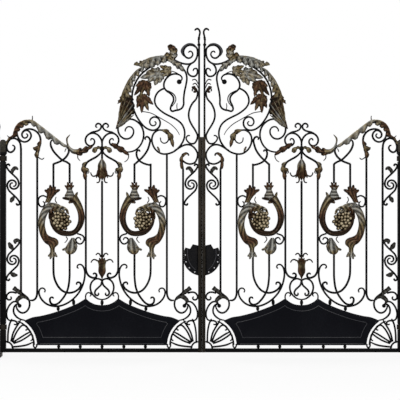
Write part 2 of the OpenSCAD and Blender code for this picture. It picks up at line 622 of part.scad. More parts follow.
// Tulips turned on the middle bar, drawn as radius and share of the length
tulip_up = [[0, 0], [14, 0], [16, 0.04], [42, 0.02], [56, 0.07], [50, 0.16], [42, 0.32], [41, 0.5],
    [42, 0.68], [34, 0.8], [22, 0.92], [13, 1], [0, 1]];
tulip_low = [[0, 0], [9, 0], [13, 0.06], [30, 0.18], [41, 0.36], [40, 0.52], [36, 0.66], [46, 0.8],
    [44, 0.84], [24, 0.9], [13, 1], [0, 1]];
module turned_on_bar(z0, z1, profile) {
    a = at([mid, z0]);
    b = at([mid, z1]);
    translate([a.x, 0, a.y]) rotate_extrude() polygon([for (q = profile) [q.x, q.y * (b.y - a.y)]]);
}
module tulips() color(patina) {
    turned_on_bar(1640, 1895, tulip_up);
    turned_on_bar(683, 920, tulip_low);
}

// Half of the horseshoe lock plate, with the nail holes of the shoe
lock_c = [1951, 900];
lock_edge = concat(volute(lock_c, 188, 188, 270, -114, 14), [[1788, 996], [1833, 982], [1861, 1028],
    [1918, 1015],
    [1951, 1010]]);
module nail_holes() for (i = [0:3]) translate(at(lock_c + 165 * [cos(173 + 24 * i), sin(173 + 24 * i)]))
    circle(7, $fn = 12);
module lock_2d(p) difference() {
    intersection() {
        opening();
        polygon([for (q = p) at(q)]);
    }
    clear_of() grille_2d();
    nail_holes();
}
module lock_plate() color(bronze) {
    upstand(lock_t) one_outline() lock_2d(lock_edge);
    for (s = [-1, 1]) upstand(4, s * (lock_t + 4) / 2) one_outline() difference() {
        lock_2d(lock_edge);
        translate(at(lock_c + [0, 40])) scale([143, 185]) circle(1, $fn = 48);
    }
}

function want(s, n) = node == "all" || node == str(s, "_", n);
for (s = SIDES) {
    if (want(s, "post")) hand(s) post();
    if (want(s, "post_cap")) hand(s) post_cap();
    if (want(s, "hinge_collars")) hand(s) hinge_collars();
    if (want(s, "hanging_stile")) hand(s) hanging_stile();
    if (want(s, "stile_journals")) hand(s) stile_journals();
    if (want(s, "meeting_stile")) hand(s) meeting_stile();
    if (want(s, "meeting_cover")) hand(s) meeting_cover();
    if (want(s, "bottom_rail")) hand(s) bottom_rail();
    if (want(s, "kick_panel")) hand(s) kick_panel();
    if (want(s, "panel_studs")) hand(s) panel_studs();
    if (want(s, "grille")) hand(s) grille();
    if (want(s, "side_rosettes")) hand(s) side_rosettes();
    if (want(s, "corner_fans")) hand(s) corner_fans();
    if (want(s, "shoulder_scrolls")) hand(s) shoulder_scrolls();
    if (want(s, "lyre_scrolls")) hand(s) lyre_scrolls();
    if (want(s, "crest_scrolls")) hand(s) crest_scrolls();
    if (want(s, "horse_head")) hand(s) horse_head();
    if (want(s, "crest_acanthus")) hand(s) crest_acanthus();
    if (want(s, "oak_spray")) hand(s) oak_spray();
    if (want(s, "shoulder_acanthus")) hand(s) shoulder_acanthus();
    if (want(s, "bar_leaves")) hand(s) bar_leaves();
    if (want(s, "wreath_horns")) hand(s) wreath_horns();
    if (want(s, "grapes")) hand(s) grapes();
    if (want(s, "tulips")) hand(s) tulips();
    if (want(s, "lock_plate")) hand(s) lock_plate();
}
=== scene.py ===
# %% [markdown]
# # Double-leaf ornamental iron gate
# The gate was forged from square bar, cast ornaments and sheet, and CAD already holds its
# pieces at their true size. Here each one gets the edges, the relief and the paint that the
# eye looks for, and some small details join them. We start by loading the CAD frame and keeping
# its box, because nothing we make may grow out of it.

# %% Load the CAD frame
import json
import math

import bmesh
import bpy
import numpy as np
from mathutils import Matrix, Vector

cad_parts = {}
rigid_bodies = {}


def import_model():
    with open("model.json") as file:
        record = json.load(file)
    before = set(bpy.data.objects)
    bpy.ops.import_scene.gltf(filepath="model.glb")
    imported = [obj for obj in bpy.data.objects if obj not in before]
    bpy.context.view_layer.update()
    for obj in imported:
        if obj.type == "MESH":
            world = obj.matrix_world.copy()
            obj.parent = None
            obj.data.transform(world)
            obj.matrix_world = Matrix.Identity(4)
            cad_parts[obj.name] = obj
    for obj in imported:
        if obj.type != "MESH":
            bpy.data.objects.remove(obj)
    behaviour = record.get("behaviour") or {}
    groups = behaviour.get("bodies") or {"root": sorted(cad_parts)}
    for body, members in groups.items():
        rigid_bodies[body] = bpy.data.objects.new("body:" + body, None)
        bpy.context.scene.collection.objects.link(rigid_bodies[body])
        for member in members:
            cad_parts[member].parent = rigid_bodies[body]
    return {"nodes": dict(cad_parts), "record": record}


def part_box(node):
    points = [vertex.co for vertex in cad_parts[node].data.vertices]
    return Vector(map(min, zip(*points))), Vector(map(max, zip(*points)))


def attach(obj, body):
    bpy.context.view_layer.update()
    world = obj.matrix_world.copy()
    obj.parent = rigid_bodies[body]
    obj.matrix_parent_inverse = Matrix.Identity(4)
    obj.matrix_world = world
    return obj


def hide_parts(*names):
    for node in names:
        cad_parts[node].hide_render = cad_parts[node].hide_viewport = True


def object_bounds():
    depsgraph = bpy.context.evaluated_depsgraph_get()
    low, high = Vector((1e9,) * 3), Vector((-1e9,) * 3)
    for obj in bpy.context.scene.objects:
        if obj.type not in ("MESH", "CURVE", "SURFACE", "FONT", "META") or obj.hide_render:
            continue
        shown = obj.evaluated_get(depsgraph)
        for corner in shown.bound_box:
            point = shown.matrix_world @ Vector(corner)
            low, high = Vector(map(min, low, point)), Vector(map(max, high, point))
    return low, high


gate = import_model()
cad_low, cad_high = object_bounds()
print("CAD box", [round(v, 3) for v in (*cad_low, *cad_high)])

# %% [markdown]
# ## The drawing board
# A smith bends bars over a full-size drawing of one leaf. We do the same: points are in
# millimetres from the inner face of the hanging stile and from just above the bottom rail.
# `on_leaf` carries a drawn point to the gate, in metres. Its place and width come from the CAD
# boxes, so the drawing follows a wider gate. Heights stay as drawn.

# %% From the drawing to the gate
rail_low, rail_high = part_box("left_bottom_rail")
MM = 1000  # millimetres in a metre
DRAWN_WIDE = 1914  # the drawing's width, between the faces of the stiles
DRAWN_FOOT = 14  # its zero line lies this far above the rail
MIDDLE = (cad_low.x + cad_high.x) / 2
ACROSS = (rail_high.x - rail_low.x) / DRAWN_WIDE
CENTRE = DRAWN_WIDE // 2
SIDES = ("left", "right")


def on_leaf(points):
    p = np.asarray(points, float)
    return np.stack([rail_low.x + p[:, 0] * ACROSS, rail_high.z + (p[:, 1] + DRAWN_FOOT) / MM], 1)


def bend(points, steps=10):
    """A smooth line through the drawn points (Catmull-Rom)."""
    p = np.asarray(points, float)
    q = np.vstack([2 * p[0] - p[1], p, 2 * p[-1] - p[-2]])
    t = np.linspace(0, 1, steps, endpoint=False)[:, None]
    runs = [0.5 * (2 * b + (c - a) * t + (2 * a - 5 * b + 4 * c - d) * t**2
                   + (3 * b - a - 3 * c + d) * t**3) for a, b, c, d in zip(q, q[1:], q[2:], q[3:])]
    return np.vstack(runs + [p[-1:]])


def even(line, n):
    """The same line with n points at equal distances."""
    d = np.r_[0, np.cumsum(np.linalg.norm(np.diff(line, axis=0), axis=1))]
    s = np.linspace(0, d[-1], n)
    return np.stack([np.interp(s, d, line[:, k]) for k in range(line.shape[1])], 1)


def turned_over(points):
    """The mirror image on the other half of the same leaf."""
    return [(2 * CENTRE - x, z) for x, z in points]


print("gate middle", round(MIDDLE, 4), "drawing stretched by", round(ACROSS, 4))

# %% [markdown]
# ## Writing shader maths as Python
# Node trees get hard to read when every sum is three lines. The class below wraps one output
# socket, so that `0.4 + 0.2 * cloud` adds its Math nodes by itself. Everything that isn't
# plain maths comes from one method, `node`, which sets a node's options first and then fills
# its sockets with values or links.

# %% The socket wrapper and a finish
class Signal:
    def __init__(self, finish, socket):
        self.finish, self.socket = finish, socket

    def with_math(self, how, a, b):
        return self.finish.node("ShaderNodeMath", {"operation": how}, {0: a, 1: b})

    def __add__(self, other):
        return self.with_math("ADD", self, other)

    def __radd__(self, other):
        return self.with_math("ADD", other, self)

    def __sub__(self, other):
        return self.with_math("SUBTRACT", self, other)

    def __rsub__(self, other):
        return self.with_math("SUBTRACT", other, self)

    def __mul__(self, other):
        return self.with_math("MULTIPLY", self, other)

    def __rmul__(self, other):
        return self.with_math("MULTIPLY", other, self)

    def clamped(self, low, high):
        """0 below low, 1 above high, smooth between."""
        return self.finish.node("ShaderNodeMapRange", {"interpolation_type": "SMOOTHSTEP"},
                                {"Value": self, "From Min": low, "From Max": high})


class Finish:
    """A material whose surface is one Principled shader."""

    def __init__(self, name):
        self.material = bpy.data.materials.new(name)
        self.material.use_nodes = True
        self.tree = self.material.node_tree
        self.surface = self.tree.nodes["Principled BSDF"]
        self.place = self.node("ShaderNodeTexCoord", out="Object")

    def node(self, kind, options=None, sockets=None, out=0):
        n = self.tree.nodes.new(kind)
        for key, value in (options or {}).items():
            if key == "stops":
                ramp = n.color_ramp.elements
                while len(ramp) < len(value):
                    ramp.new(0.5)
                for e, (at, colour) in zip(ramp, value):
                    e.position, e.color = at, (*colour, 1)
            else:
                setattr(n, key, value)
        for key, value in (sockets or {}).items():
            self.fill(n.inputs[key], value)
        return Signal(self, n.outputs[out])

    def fill(self, socket, value):
        if isinstance(value, Signal):
            self.tree.links.new(value.socket, socket)
        elif socket.type == "RGBA" and len(value) == 3:
            socket.default_value = (*value, 1)
        else:
            socket.default_value = value

    def noise(self, scale, detail=3.0, rough=0.55):
        return self.node("ShaderNodeTexNoise", {}, {"Vector": self.place, "Scale": scale, "Detail": detail,
                                                    "Roughness": rough})

    def blend(self, share, a, b):
        return self.node("ShaderNodeMix", {"data_type": "RGBA"}, {0: share, 6: a, 7: b}, out=2)

    def own(self, attribute):
        return self.node("ShaderNodeAttribute", {"attribute_name": attribute}, out="Fac")

    def set(self, **sockets):
        for key, value in sockets.items():
            self.fill(self.surface.inputs[key.replace("_", " ")], value)

    def bump(self, height, depth, strength=1.0):
        self.set(Normal=self.node("ShaderNodeBump", {}, {"Strength": strength, "Distance": depth,
                                                         "Height": height}))


print("shader helpers ready")

# %% [markdown]
# ## Paints and patinas
# The bars are brushed with satin black over a hammered skin: low, wide dents, a little dust
# that turns the black warmer, and gloss that changes from place to place. The sheet of the
# kick panel is smoother and bluer. The ornaments were painted dark and rubbed with bronze and
# verdigris, so their colour follows the relief: dark in the folds, pale on the ridges. That
# same colour also paints light and shade: painted shade in the folds, between lobes and on
# the half turned away from the light, and painted highlights on the crests. Each ornament
# mesh carries two attributes for that, one that follows the ridges and their light, and the
# `tone`.

# %% Painted iron
def painted_iron(name, dark, dusty, rough, dent, grain=60.0):
    f = Finish(name)
    cloud, speck = f.noise(2.6, detail=4.0), f.noise(90.0, detail=2.0)
    hammer = f.node("ShaderNodeTexVoronoi", {"feature": "SMOOTH_F1"},
                    {"Vector": f.place, "Scale": grain, "Smoothness": 0.7})
    dust = (cloud * 0.7 + speck * 0.5).clamped(0.52, 0.82)
    f.set(Base_Color=f.blend(dust, dark, dusty), Roughness=rough + 0.22 * cloud - 0.08 * speck)
    f.set(Specular_IOR_Level=0.045)
    f.bump(hammer + 0.25 * speck, dent, strength=0.5)
    return f.material


BAR_PAINT = painted_iron("black bar paint", (0.0018, 0.0018, 0.0024), (0.0065, 0.006, 0.0056),
                         rough=0.42, dent=0.0008)
FRAME_PAINT = painted_iron("black frame paint", (0.0014, 0.0014, 0.0018), (0.006, 0.0054, 0.0048),
                           rough=0.36, dent=0.0009, grain=34.0)
PANEL_PAINT = painted_iron("blue-black panel enamel", (0.0026, 0.0028, 0.0046), (0.0048, 0.0052, 0.0074),
                           rough=0.36, dent=0.0003, grain=14.0)
POST_PAINT = painted_iron("brown-black post paint", (0.012, 0.0105, 0.009), (0.036, 0.029, 0.022),
                          rough=0.4, dent=0.0012, grain=28.0)
STRIP_PAINT = painted_iron("dark bronze strip paint", (0.012, 0.0102, 0.0078), (0.038, 0.030, 0.022),
                           rough=0.3, dent=0.0006, grain=40.0)
CAP_PAINT = painted_iron("rubbed cap paint", (0.022, 0.020, 0.016), (0.075, 0.068, 0.054), rough=0.36,
                         dent=0.0010, grain=36.0)
LOCK_PAINT = painted_iron("forged shoe paint", (0.0045, 0.0045, 0.0055), (0.016, 0.0145, 0.0125),
                          rough=0.32, dent=0.0012, grain=52.0)
# grey paint that makes the beads read as lines of light: a painted highlight; the grey leaf on the top
# scroll uses it too
BEAD_PAINT = painted_iron("grey bead paint", (0.044, 0.044, 0.050), (0.08, 0.079, 0.082), rough=0.4,
                          dent=0.0004, grain=80.0)
print("paints", len(bpy.data.materials))

# %% [markdown]
# ## Patina and painted light that follow the relief
# A painter wipes pale paint over a dark casting, and it stays on the ridges. The same mask
# also paints light and shade here: painted shade in the folds, painted highlights on the
# crests. An image could hold that, but the meshes here are made by formulas that already know
# where a ridge is. So the material reads that attribute to go from dark folds to pale crests,
# and `tone` to choose the colour.

# %% Patina with painted shade and highlights
def patina_with_painted_light(name, stops, crest_and_highlight_colour, rub_and_highlight):
    f = Finish(name)
    ridge, tone = f.own("ridge"), f.own("tone")
    patch, grain = f.noise(17.0, detail=4.0, rough=0.6), f.noise(60.0, detail=3.0)
    body = f.node("ShaderNodeValToRGB", {"stops": stops},
                  {"Fac": tone + 1.0 * (patch - 0.5) + 0.3 * (grain - 0.5)})
    # painted shade: low values darken towards near black, partly the dark patina of the hollows
    fold_and_shade = (ridge + 0.35 * (grain - 0.5)).clamped(0.12, 0.62)
    shown = f.blend(fold_and_shade, (0.008, 0.005, 0.003), body)
    # painted highlight: high values pale to the crest colour, partly rubbed bronze
    crest_and_highlight = (ridge + 0.5 * (grain - 0.5) + 0.45 * (patch - 0.5)).clamped(0.58, 0.98) * rub_and_highlight
    f.set(Base_Color=f.blend(crest_and_highlight, shown, crest_and_highlight_colour),
          Roughness=0.62 - 0.2 * crest_and_highlight + 0.12 * (patch - 0.5), Metallic=0.1, Specular_IOR_Level=0.05)
    f.bump(grain, depth=0.0015, strength=0.5)
    return f.material


# each finish pairs its patina colours with a pale crest colour, which paints highlights
LEAF_STOPS = [(0.0, (0.034, 0.019, 0.011)), (0.3, (0.105, 0.052, 0.028)), (0.62, (0.19, 0.15, 0.075)),
              (0.85, (0.31, 0.27, 0.195)), (1.0, (0.30, 0.30, 0.275))]
LEAF_PATINA_AND_LIGHT = patina_with_painted_light("leaf patina and painted light", LEAF_STOPS, (0.60, 0.52, 0.39), rub_and_highlight=0.65)
GRAPE_STOPS = [(0.0, (0.04, 0.024, 0.011)), (0.5, (0.085, 0.060, 0.030)), (1.0, (0.13, 0.105, 0.06))]
GRAPE_PATINA_AND_LIGHT = patina_with_painted_light("grape patina and painted highlights", GRAPE_STOPS, (0.50, 0.42, 0.28), rub_and_highlight=0.8)
GREY_STOPS = [(0.0, (0.026, 0.026, 0.024)), (0.5, (0.060, 0.060, 0.054)), (1.0, (0.105, 0.104, 0.092))]
GREY_PATINA_AND_LIGHT = patina_with_painted_light("grey leaf patina and painted light", GREY_STOPS, (0.17, 0.17, 0.15), rub_and_highlight=0.5)
print("patinas", LEAF_PATINA_AND_LIGHT.name, GRAPE_PATINA_AND_LIGHT.name, GREY_PATINA_AND_LIGHT.name)

# %% [markdown]
# ## Bars, frame and sheet
# A forged bar never has a razor edge: paint and hammer round it by a millimetre or two, and
# that narrow round is what catches the light. CAD meshes are loose triangles, so a copy is
# merged first, and only its real edges, the ones that turn sharply, are bevelled. The copy
# stands for the CAD node.

# %% Copies with rounded edges
MERGE = 2e-5
CORNER = 50  # degrees from which an edge counts as a corner of the bar


def finish_mesh(bm, sharp=38):
    for e in bm.edges:
        e.smooth = e.calc_face_angle(0.0) < math.radians(sharp)
    for f in bm.faces:
        f.smooth = True


def rounded_copy(node, paint, width, segments=2):
    bm = bmesh.new()
    bm.from_mesh(gate["nodes"][node].data)
    bmesh.ops.remove_doubles(bm, verts=bm.verts, dist=MERGE)
    edges = [e for e in bm.edges if e.is_manifold and e.calc_face_angle(0.0) > math.radians(CORNER)]
    bmesh.ops.bevel(bm, geom=edges, offset=width, segments=segments, profile=0.5, affect="EDGES",
                    clamp_overlap=False, loop_slide=False)
    bmesh.ops.triangulate(bm, faces=[f for f in bm.faces if len(f.verts) > 4])
    finish_mesh(bm)
    mesh = bpy.data.meshes.new(node + "_rounded")
    bm.to_mesh(mesh)
    bm.free()
    return add_piece(node + "_rounded", mesh, paint, node)


def add_piece(name, mesh, paint, *nodes):
    """Puts a finished mesh in the scene as a piece that stands for these CAD nodes."""
    body = next(b for b, held in gate["record"]["behaviour"]["bodies"].items() if nodes[0] in held)
    obj = add_detail(name, mesh, paint, body)
    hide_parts(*nodes)
    return obj


def add_detail(name, mesh, paint, body):
    """Puts a mesh in the scene that goes with a body."""
    obj = bpy.data.objects.new(name, mesh)
    bpy.context.scene.collection.objects.link(obj)
    mesh.materials.clear()
    mesh.materials.append(paint)
    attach(obj, body)
    return obj


FORGED = {"hanging_stile": (FRAME_PAINT, 0.003), "meeting_stile": (FRAME_PAINT, 0.0025),
          "bottom_rail": (FRAME_PAINT, 0.003), "kick_panel": (PANEL_PAINT, 0.0012),
          "meeting_cover": (STRIP_PAINT, 0.0015), "lock_plate": (LOCK_PAINT, 0.0014),
          "stile_journals": (CAP_PAINT, 0.0015), "hinge_collars": (STRIP_PAINT, 0.0025),
          "post": (POST_PAINT, 0.004), "post_cap": (POST_PAINT, 0.003)}
for side in SIDES:
    for name, (paint, width) in FORGED.items():
        made = rounded_copy(f"{side}_{name}", paint, width)
        if side == "left":
            print(f"{made.name}: {len(made.data.polygons)} faces")

# %% [markdown]
# ## Journals that turn freely
# Each leaf turns on round journals in the post's collars, with hardly any play. A mesh round has
# flats, so two of them that fit in CAD would graze each other while turning. Drawing the
# journals a hair slimmer about their own axis avoids that, and can't be seen.

# %% Slimmer journals
JOURNAL, SLIM = 0.0255, 0.985
for joint in gate["record"]["behaviour"]["joints"]:
    x, y, _ = joint["pos_m"]
    for v in bpy.data.objects[joint["child"].replace("leaf", "stile_journals_rounded")].data.vertices:
        if math.hypot(v.co.x - x, v.co.y - y) < JOURNAL:
            v.co.x, v.co.y = x + SLIM * (v.co.x - x), y + SLIM * (v.co.y - y)
print("journals slimmed by", round((1 - SLIM) * JOURNAL * MM, 2), "mm")

# %% [markdown]
# ## Relief for leaves and castings
# A cast leaf is a sheet with a bold outline and folds that run from the rib to the lobes. A
# grid does that well: one direction follows the spine, the other goes out to the edge, and
# both the outline and the height are simple functions of the two. Front and back are the same
# relief, closed at the rim, because the gate is seen from both sides.

# %% A mesh that collects reliefs
class Relief:
    def __init__(self):
        self.points, self.faces, self.ridge, self.tone, self.count = [], [], [], [], 0

    def grid(self, xz, half, ridge, tone):
        """Adds a grid of (x, z) points, front and back; tone may change along it."""
        n, m = half.shape
        front = np.stack([xz[..., 0], -half, xz[..., 1]], -1).reshape(-1, 3)
        k = np.arange(n * m).reshape(n, m)
        quad = np.stack([k[:-1, :-1], k[1:, :-1], k[1:, 1:], k[:-1, 1:]], -1).reshape(-1, 4)
        rim = np.r_[k[0, :], k[1:, -1], k[-1, -2::-1], k[-2:0:-1, 0]]
        after = np.roll(rim, -1)
        wall = np.stack([rim, after, after + n * m, rim + n * m], -1)
        self.faces += (np.vstack([quad, quad[:, ::-1] + n * m, wall]) + self.count).tolist()
        self.points += [front, front * (1, -1, 1)]
        self.ridge += [np.clip(ridge, 0, 1).ravel()] * 2
        along = np.interp(np.linspace(0, 1, n), np.linspace(0, 1, np.size(tone)), np.ravel(tone))
        self.tone += [np.repeat(along, m)] * 2
        self.count += 2 * n * m

    def mesh(self, name, mirrored):
        mesh = bpy.data.meshes.new(name)
        mesh.from_pydata(np.vstack(self.points).tolist(), [], self.faces)
        for key, values in (("ridge", self.ridge), ("tone", self.tone)):
            mesh.attributes.new(key, "FLOAT", "POINT").data.foreach_set("value", np.concatenate(values))
        return settle(mesh, mirrored)


def settle(mesh, mirrored, sharp=55):
    """Merges doubles, mirrors for the right leaf and turns the faces outwards."""
    bm = bmesh.new()
    bm.from_mesh(mesh)
    if mirrored:
        for v in bm.verts:
            v.co.x = 2 * MIDDLE - v.co.x
    bmesh.ops.remove_doubles(bm, verts=bm.verts, dist=MERGE)
    bmesh.ops.dissolve_degenerate(bm, dist=1e-5, edges=bm.edges)
    bmesh.ops.recalc_face_normals(bm, faces=bm.faces)
    finish_mesh(bm, sharp)
    bm.to_mesh(mesh)
    bm.free()
    return mesh


print("relief mesh ready")

# %% [markdown]
# ## Leaves on a rib
# A leaf is two halves, each stretched from the rib to an edge. Its lobes are a notch that repeats
# along the edge, and its pleats are waves that lead into the lobes. Sculpting would give livelier
# leaves, but here one number changes a leaf, and many can be made alike.

# %% Half leaves and leaves
SHADED = 0.78  # the half of a leaf that is turned away from the light
OUTLINE = 60  # points along the outline of a leaf
LOBE_STEPS, BLADE_STEPS = 16, 9  # grid lines along a lobe and from rib to edge
THIN = 0.0025  # the least half thickness of a leaf


def edge_of(spine, width, hand):
    """The outline of a leaf that reaches this far, in mm, to one side of its spine."""
    line = even(bend(spine), OUTLINE)
    step = np.gradient(line, axis=0)
    step /= np.linalg.norm(step, axis=1)[:, None]
    reach = np.interp(np.linspace(0, 1, OUTLINE), np.linspace(0, 1, len(width)), width)
    return line + hand * reach[:, None] * np.stack([-step[:, 1], step[:, 0]], 1)


def half_blade(spine, edge, teeth, cut, rise, pleat):
    """Half a leaf, from its rib to its lobed edge, with pleats that fan out into the lobes."""
    n, m = teeth * LOBE_STEPS + 1, BLADE_STEPS
    a, b = even(on_leaf(bend(spine)), n), even(on_leaf(bend(edge)), n)
    t, v = np.linspace(0, 1, n)[:, None], np.linspace(0, 1, m)[None, :]
    beat, lean = (t * teeth) % 1, 1.6
    notch = np.abs(2 * beat**lean - 1) ** 2 + 0.14 * np.abs(np.cos(3 * math.pi * beat))
    far = (1 - cut * notch) * v
    xz = a[:, None] * (1 - far)[..., None] + b[:, None] * far[..., None]
    wave = (0.5 + 0.5 * np.cos(2 * math.pi * (t * teeth - 0.5 ** (1 / lean) + 0.5 * (1 - v)))) ** 2
    ends = np.clip(np.minimum(t, 1 - t) / 0.06, 0, 1) ** 0.5
    rib = np.exp(-((v / 0.1) ** 2))
    half = THIN + ends * (rise * np.sin(math.pi * (0.22 + 0.78 * v)) ** 0.8 + 0.003 * rib
                          + pleat * (wave - 0.4) * v**0.4 * (1 - v**3))
    stripes = min(1.0, pleat / 0.01)
    # High on the pleat crests and along the rib, low in the folds: rubbed patina and also painted
    # highlights and painted shade. It falls towards the edge, which paints shade between the lobes.
    ridge = (0.44 - 0.3 * stripes + 0.64 * stripes * wave * (1 - 0.3 * v) + 0.32 * rib) * (1 - 0.6 * v**4)
    return xz, np.maximum(half, THIN), ridge


def blade(relief, spine, one, other=None, teeth=5, cut=0.35, tone=0.3, rise=0.015, pleat=0.007):
    """A leaf between drawn edges; without the other edge the spine is a rolled rim."""
    near = half_blade(spine, one, teeth, cut, rise, pleat)
    if other is not None:
        xz, half, ridge = half_blade(spine, other, teeth, cut, rise, pleat)
        far = xz, half, SHADED * ridge
        near = [np.concatenate([a[:, :0:-1], b], 1) for a, b in zip(near, far)]
    relief.grid(*near, tone)


def leaf(relief, spine, left, right, teeth=5, cut=0.4, tone=0.3, rise=0.014, pleat=0.006):
    """A leaf along a spine; left and right are its half widths in mm from foot to tip."""
    blade(relief, spine, edge_of(spine, left, 1), edge_of(spine, right, -1), teeth, cut, tone, rise, pleat)


print("leaf tools ready")

# %% [markdown]
# ## Acanthus lobes, fingers and horns
# An acanthus is a row of small leaves that overlap along a rolled rim, and a garland leaf spreads
# its lobes like fingers. A horn is an arched grid between two edges, with ribs that wind along
# it. All of them end up in the same kind of mesh, so their patina matches.

# %% Rows of lobes, fingers and horns
HORN_STEPS, HORN_ROUND = 72, 23  # grid lines along a horn and across it


def fronds(relief, rim, edge, count, lean, tones, rise):
    """The overlapping lobes of an acanthus leaf, each from the rolled rim to the edge."""
    a, b = even(bend(rim), 101), even(bend(edge), 101)
    gap = np.linalg.norm(np.diff(b, axis=0), axis=1).sum() / count
    for k in range(count):
        at = 100 * (k + 0.5) / count
        root, tip = a[max(0, int(at - lean))], b[min(100, int(at + lean))]
        foot = 0.86 * root + 0.14 * tip
        along = tip - foot
        middle = (foot + tip) / 2 + 0.1 * np.array((along[1], -along[0]))
        tone = np.interp(k, np.linspace(0, count - 1, len(tones)), tones) + (0.08, -0.08, 0.0)[k % 3]
        most = min(0.72 * gap, 0.45 * np.linalg.norm(along))
        wide = [0.25 * most, most, 0.8 * most, 3]
        leaf(relief, [foot, middle, tip], wide, wide, teeth=2, cut=0.22, tone=tone,
             rise=rise * (1, 0.88, 1.1)[k % 3], pleat=0.004)


def palm(relief, foot, tips, wide, tone, rise):
    """A leaf whose lobes spread from its foot like fingers."""
    for k, tip in enumerate(tips):
        middle = (0.45 * foot[0] + 0.55 * tip[0], 0.45 * foot[1] + 0.55 * tip[1])
        reach = [0.35 * wide, wide, 0.8 * wide, 4]
        leaf(relief, [foot, middle, tip], reach, reach, teeth=3, cut=0.26,
             tone=tone + (0.1, -0.14, 0.0)[k % 3], rise=rise * (1, 0.86, 1.1)[k % 3], pleat=0.004)


def horn(relief, one_edge, other_edge, rise=0.03, ribs=3, rings=0, tone=0.3, twist=1.5, rib=0.004):
    """A hollow-cast horn between two drawn edges, with ribs that wind along it or rings across it."""
    n, m = HORN_STEPS, HORN_ROUND
    a, b = even(on_leaf(bend(one_edge)), n), even(on_leaf(bend(other_edge)), n)
    v, t = np.linspace(0, 1, m)[None, :], np.linspace(0, 1, n)[:, None]
    xz = a[:, None] * (1 - v)[..., None] + b[:, None] * v[..., None]
    arch = np.sin(math.pi * v)
    high = np.minimum(rise, 0.55 * np.linalg.norm(a - b, axis=1)[:, None] + 0.004)
    wave = 0.5 + 0.5 * np.cos(2 * math.pi * (rings * t if rings else ribs * v + twist * t)) + 0 * v
    half = 0.004 + high * arch**0.6 + rib * (wave - 0.5) * arch**0.5
    # Paler on the ribs and most where the horn arches highest, darker between the ribs: rubbed patina and
    # also painted highlights and painted shade.
    relief.grid(xz, np.maximum(half, 0.003), 0.24 + 0.4 * wave**2 * (0.35 + 0.65 * arch), tone)


print("lobe and horn tools ready")

# %% [markdown]
# ## The big acanthus and the garland of the crown
# The acanthus climbs the outside of the arch in three overlapping leaves and curls over at
# the top. Four lobed leaves hang inside it like a garland, from grey-olive at the top to dark
# red-brown at the bottom. Sculpting them by hand would be slow to change, so each leaf is a
# rim, an edge and a few numbers for its lobes.

# %% Crown leaves
crown = Relief()
LOW_RIM = [(1222, 2520), (1160, 2470), (1136, 2412), (1145, 2360), (1132, 2307), (1110, 2255), (1092, 2180)]
LOW_TEETH = [(1246, 2522), (1280, 2466), (1286, 2400), (1280, 2332), (1240, 2284), (1190, 2236),
             (1098, 2178)]
MID_RIM = [(1372, 2806), (1306, 2775), (1263, 2728), (1221, 2673), (1188, 2614), (1162, 2556),
           (1142, 2497), (1112, 2432)]
MID_TEETH = [(1388, 2778), (1340, 2728), (1292, 2672), (1264, 2616), (1250, 2556), (1238, 2500),
             (1190, 2462), (1116, 2432)]
TOP_RIM = [(1640, 2916), (1554, 2915), (1482, 2907), (1417, 2890), (1365, 2860), (1323, 2832), (1272, 2822)]
TOP_TEETH = [(1690, 2868), (1613, 2846), (1554, 2832), (1502, 2806), (1450, 2784), (1396, 2780),
             (1345, 2796), (1274, 2820)]
blade(crown, LOW_RIM, LOW_TEETH, None, teeth=6, cut=0.14, tone=[-0.2, -0.1, 0.0, 0.1, 0.1, 0.0],
      rise=0.012, pleat=0.008)
palm(crown, (1122, 2238), [(1140, 2420), (1158, 2484), (1202, 2500), (1242, 2470)], wide=13, tone=0.62,
     rise=0.022)
palm(crown, (1108, 2198), [(1276, 2438), (1284, 2380), (1274, 2322), (1240, 2282), (1188, 2238)], wide=15,
     tone=0.9, rise=0.023)
ACANTHUS = [(MID_RIM, MID_TEETH, 8, 0.38, 4, [0.95, 0.92, 0.8, 0.75, 0.5, 0.25]),
            (TOP_RIM, TOP_TEETH, 7, 0.3, 8, [0.85, 1.0, 1.0, 0.95, 0.85, 0.6])]
ROLLED = [2, 11, 13, 12, 4]
for rim, edge, count, cut, lean, tones in ACANTHUS:
    blade(crown, rim, edge, None, count, cut, tones, rise=0.012, pleat=0.008)
    fronds(crown, rim, edge, count, lean, tones, rise=0.019)
    roll = 0.84 * even(bend(rim), 12) + 0.16 * even(bend(edge), 12)
    leaf(crown, roll, ROLLED, ROLLED, teeth=4, cut=0.0, tone=tones, rise=0.023, pleat=0.0)
CURL_SPINE = [(1632, 2850), (1672, 2900), (1686, 2950), (1676, 2992), (1640, 3012)]
leaf(crown, CURL_SPINE, [34, 48, 56, 40, 12], [28, 34, 30, 24, 10], teeth=4, cut=0.3,
     tone=[0.95, 0.9, 0.5, 0.05], rise=0.019, pleat=0.009)
leaf(crown, [(1672, 2864), (1636, 2898), (1586, 2934)], [20, 40, 26], [20, 40, 22], teeth=3, cut=0.25,
     tone=[0.75, 0.62, 0.4], rise=0.024, pleat=0.006)
leaf(crown, [(1690, 2900), (1660, 2950), (1640, 3000)], [24, 36, 18], [24, 36, 18], teeth=3, cut=0.2,
     tone=[0.95, 0.85, 0.1], rise=0.021, pleat=0.006)
leaf(crown, [(1650, 2960), (1626, 2990), (1630, 3014), (1660, 3018)], [10, 18, 16, 8], [10, 16, 14, 8],
     teeth=3, cut=0.3, tone=0.05, rise=0.02)

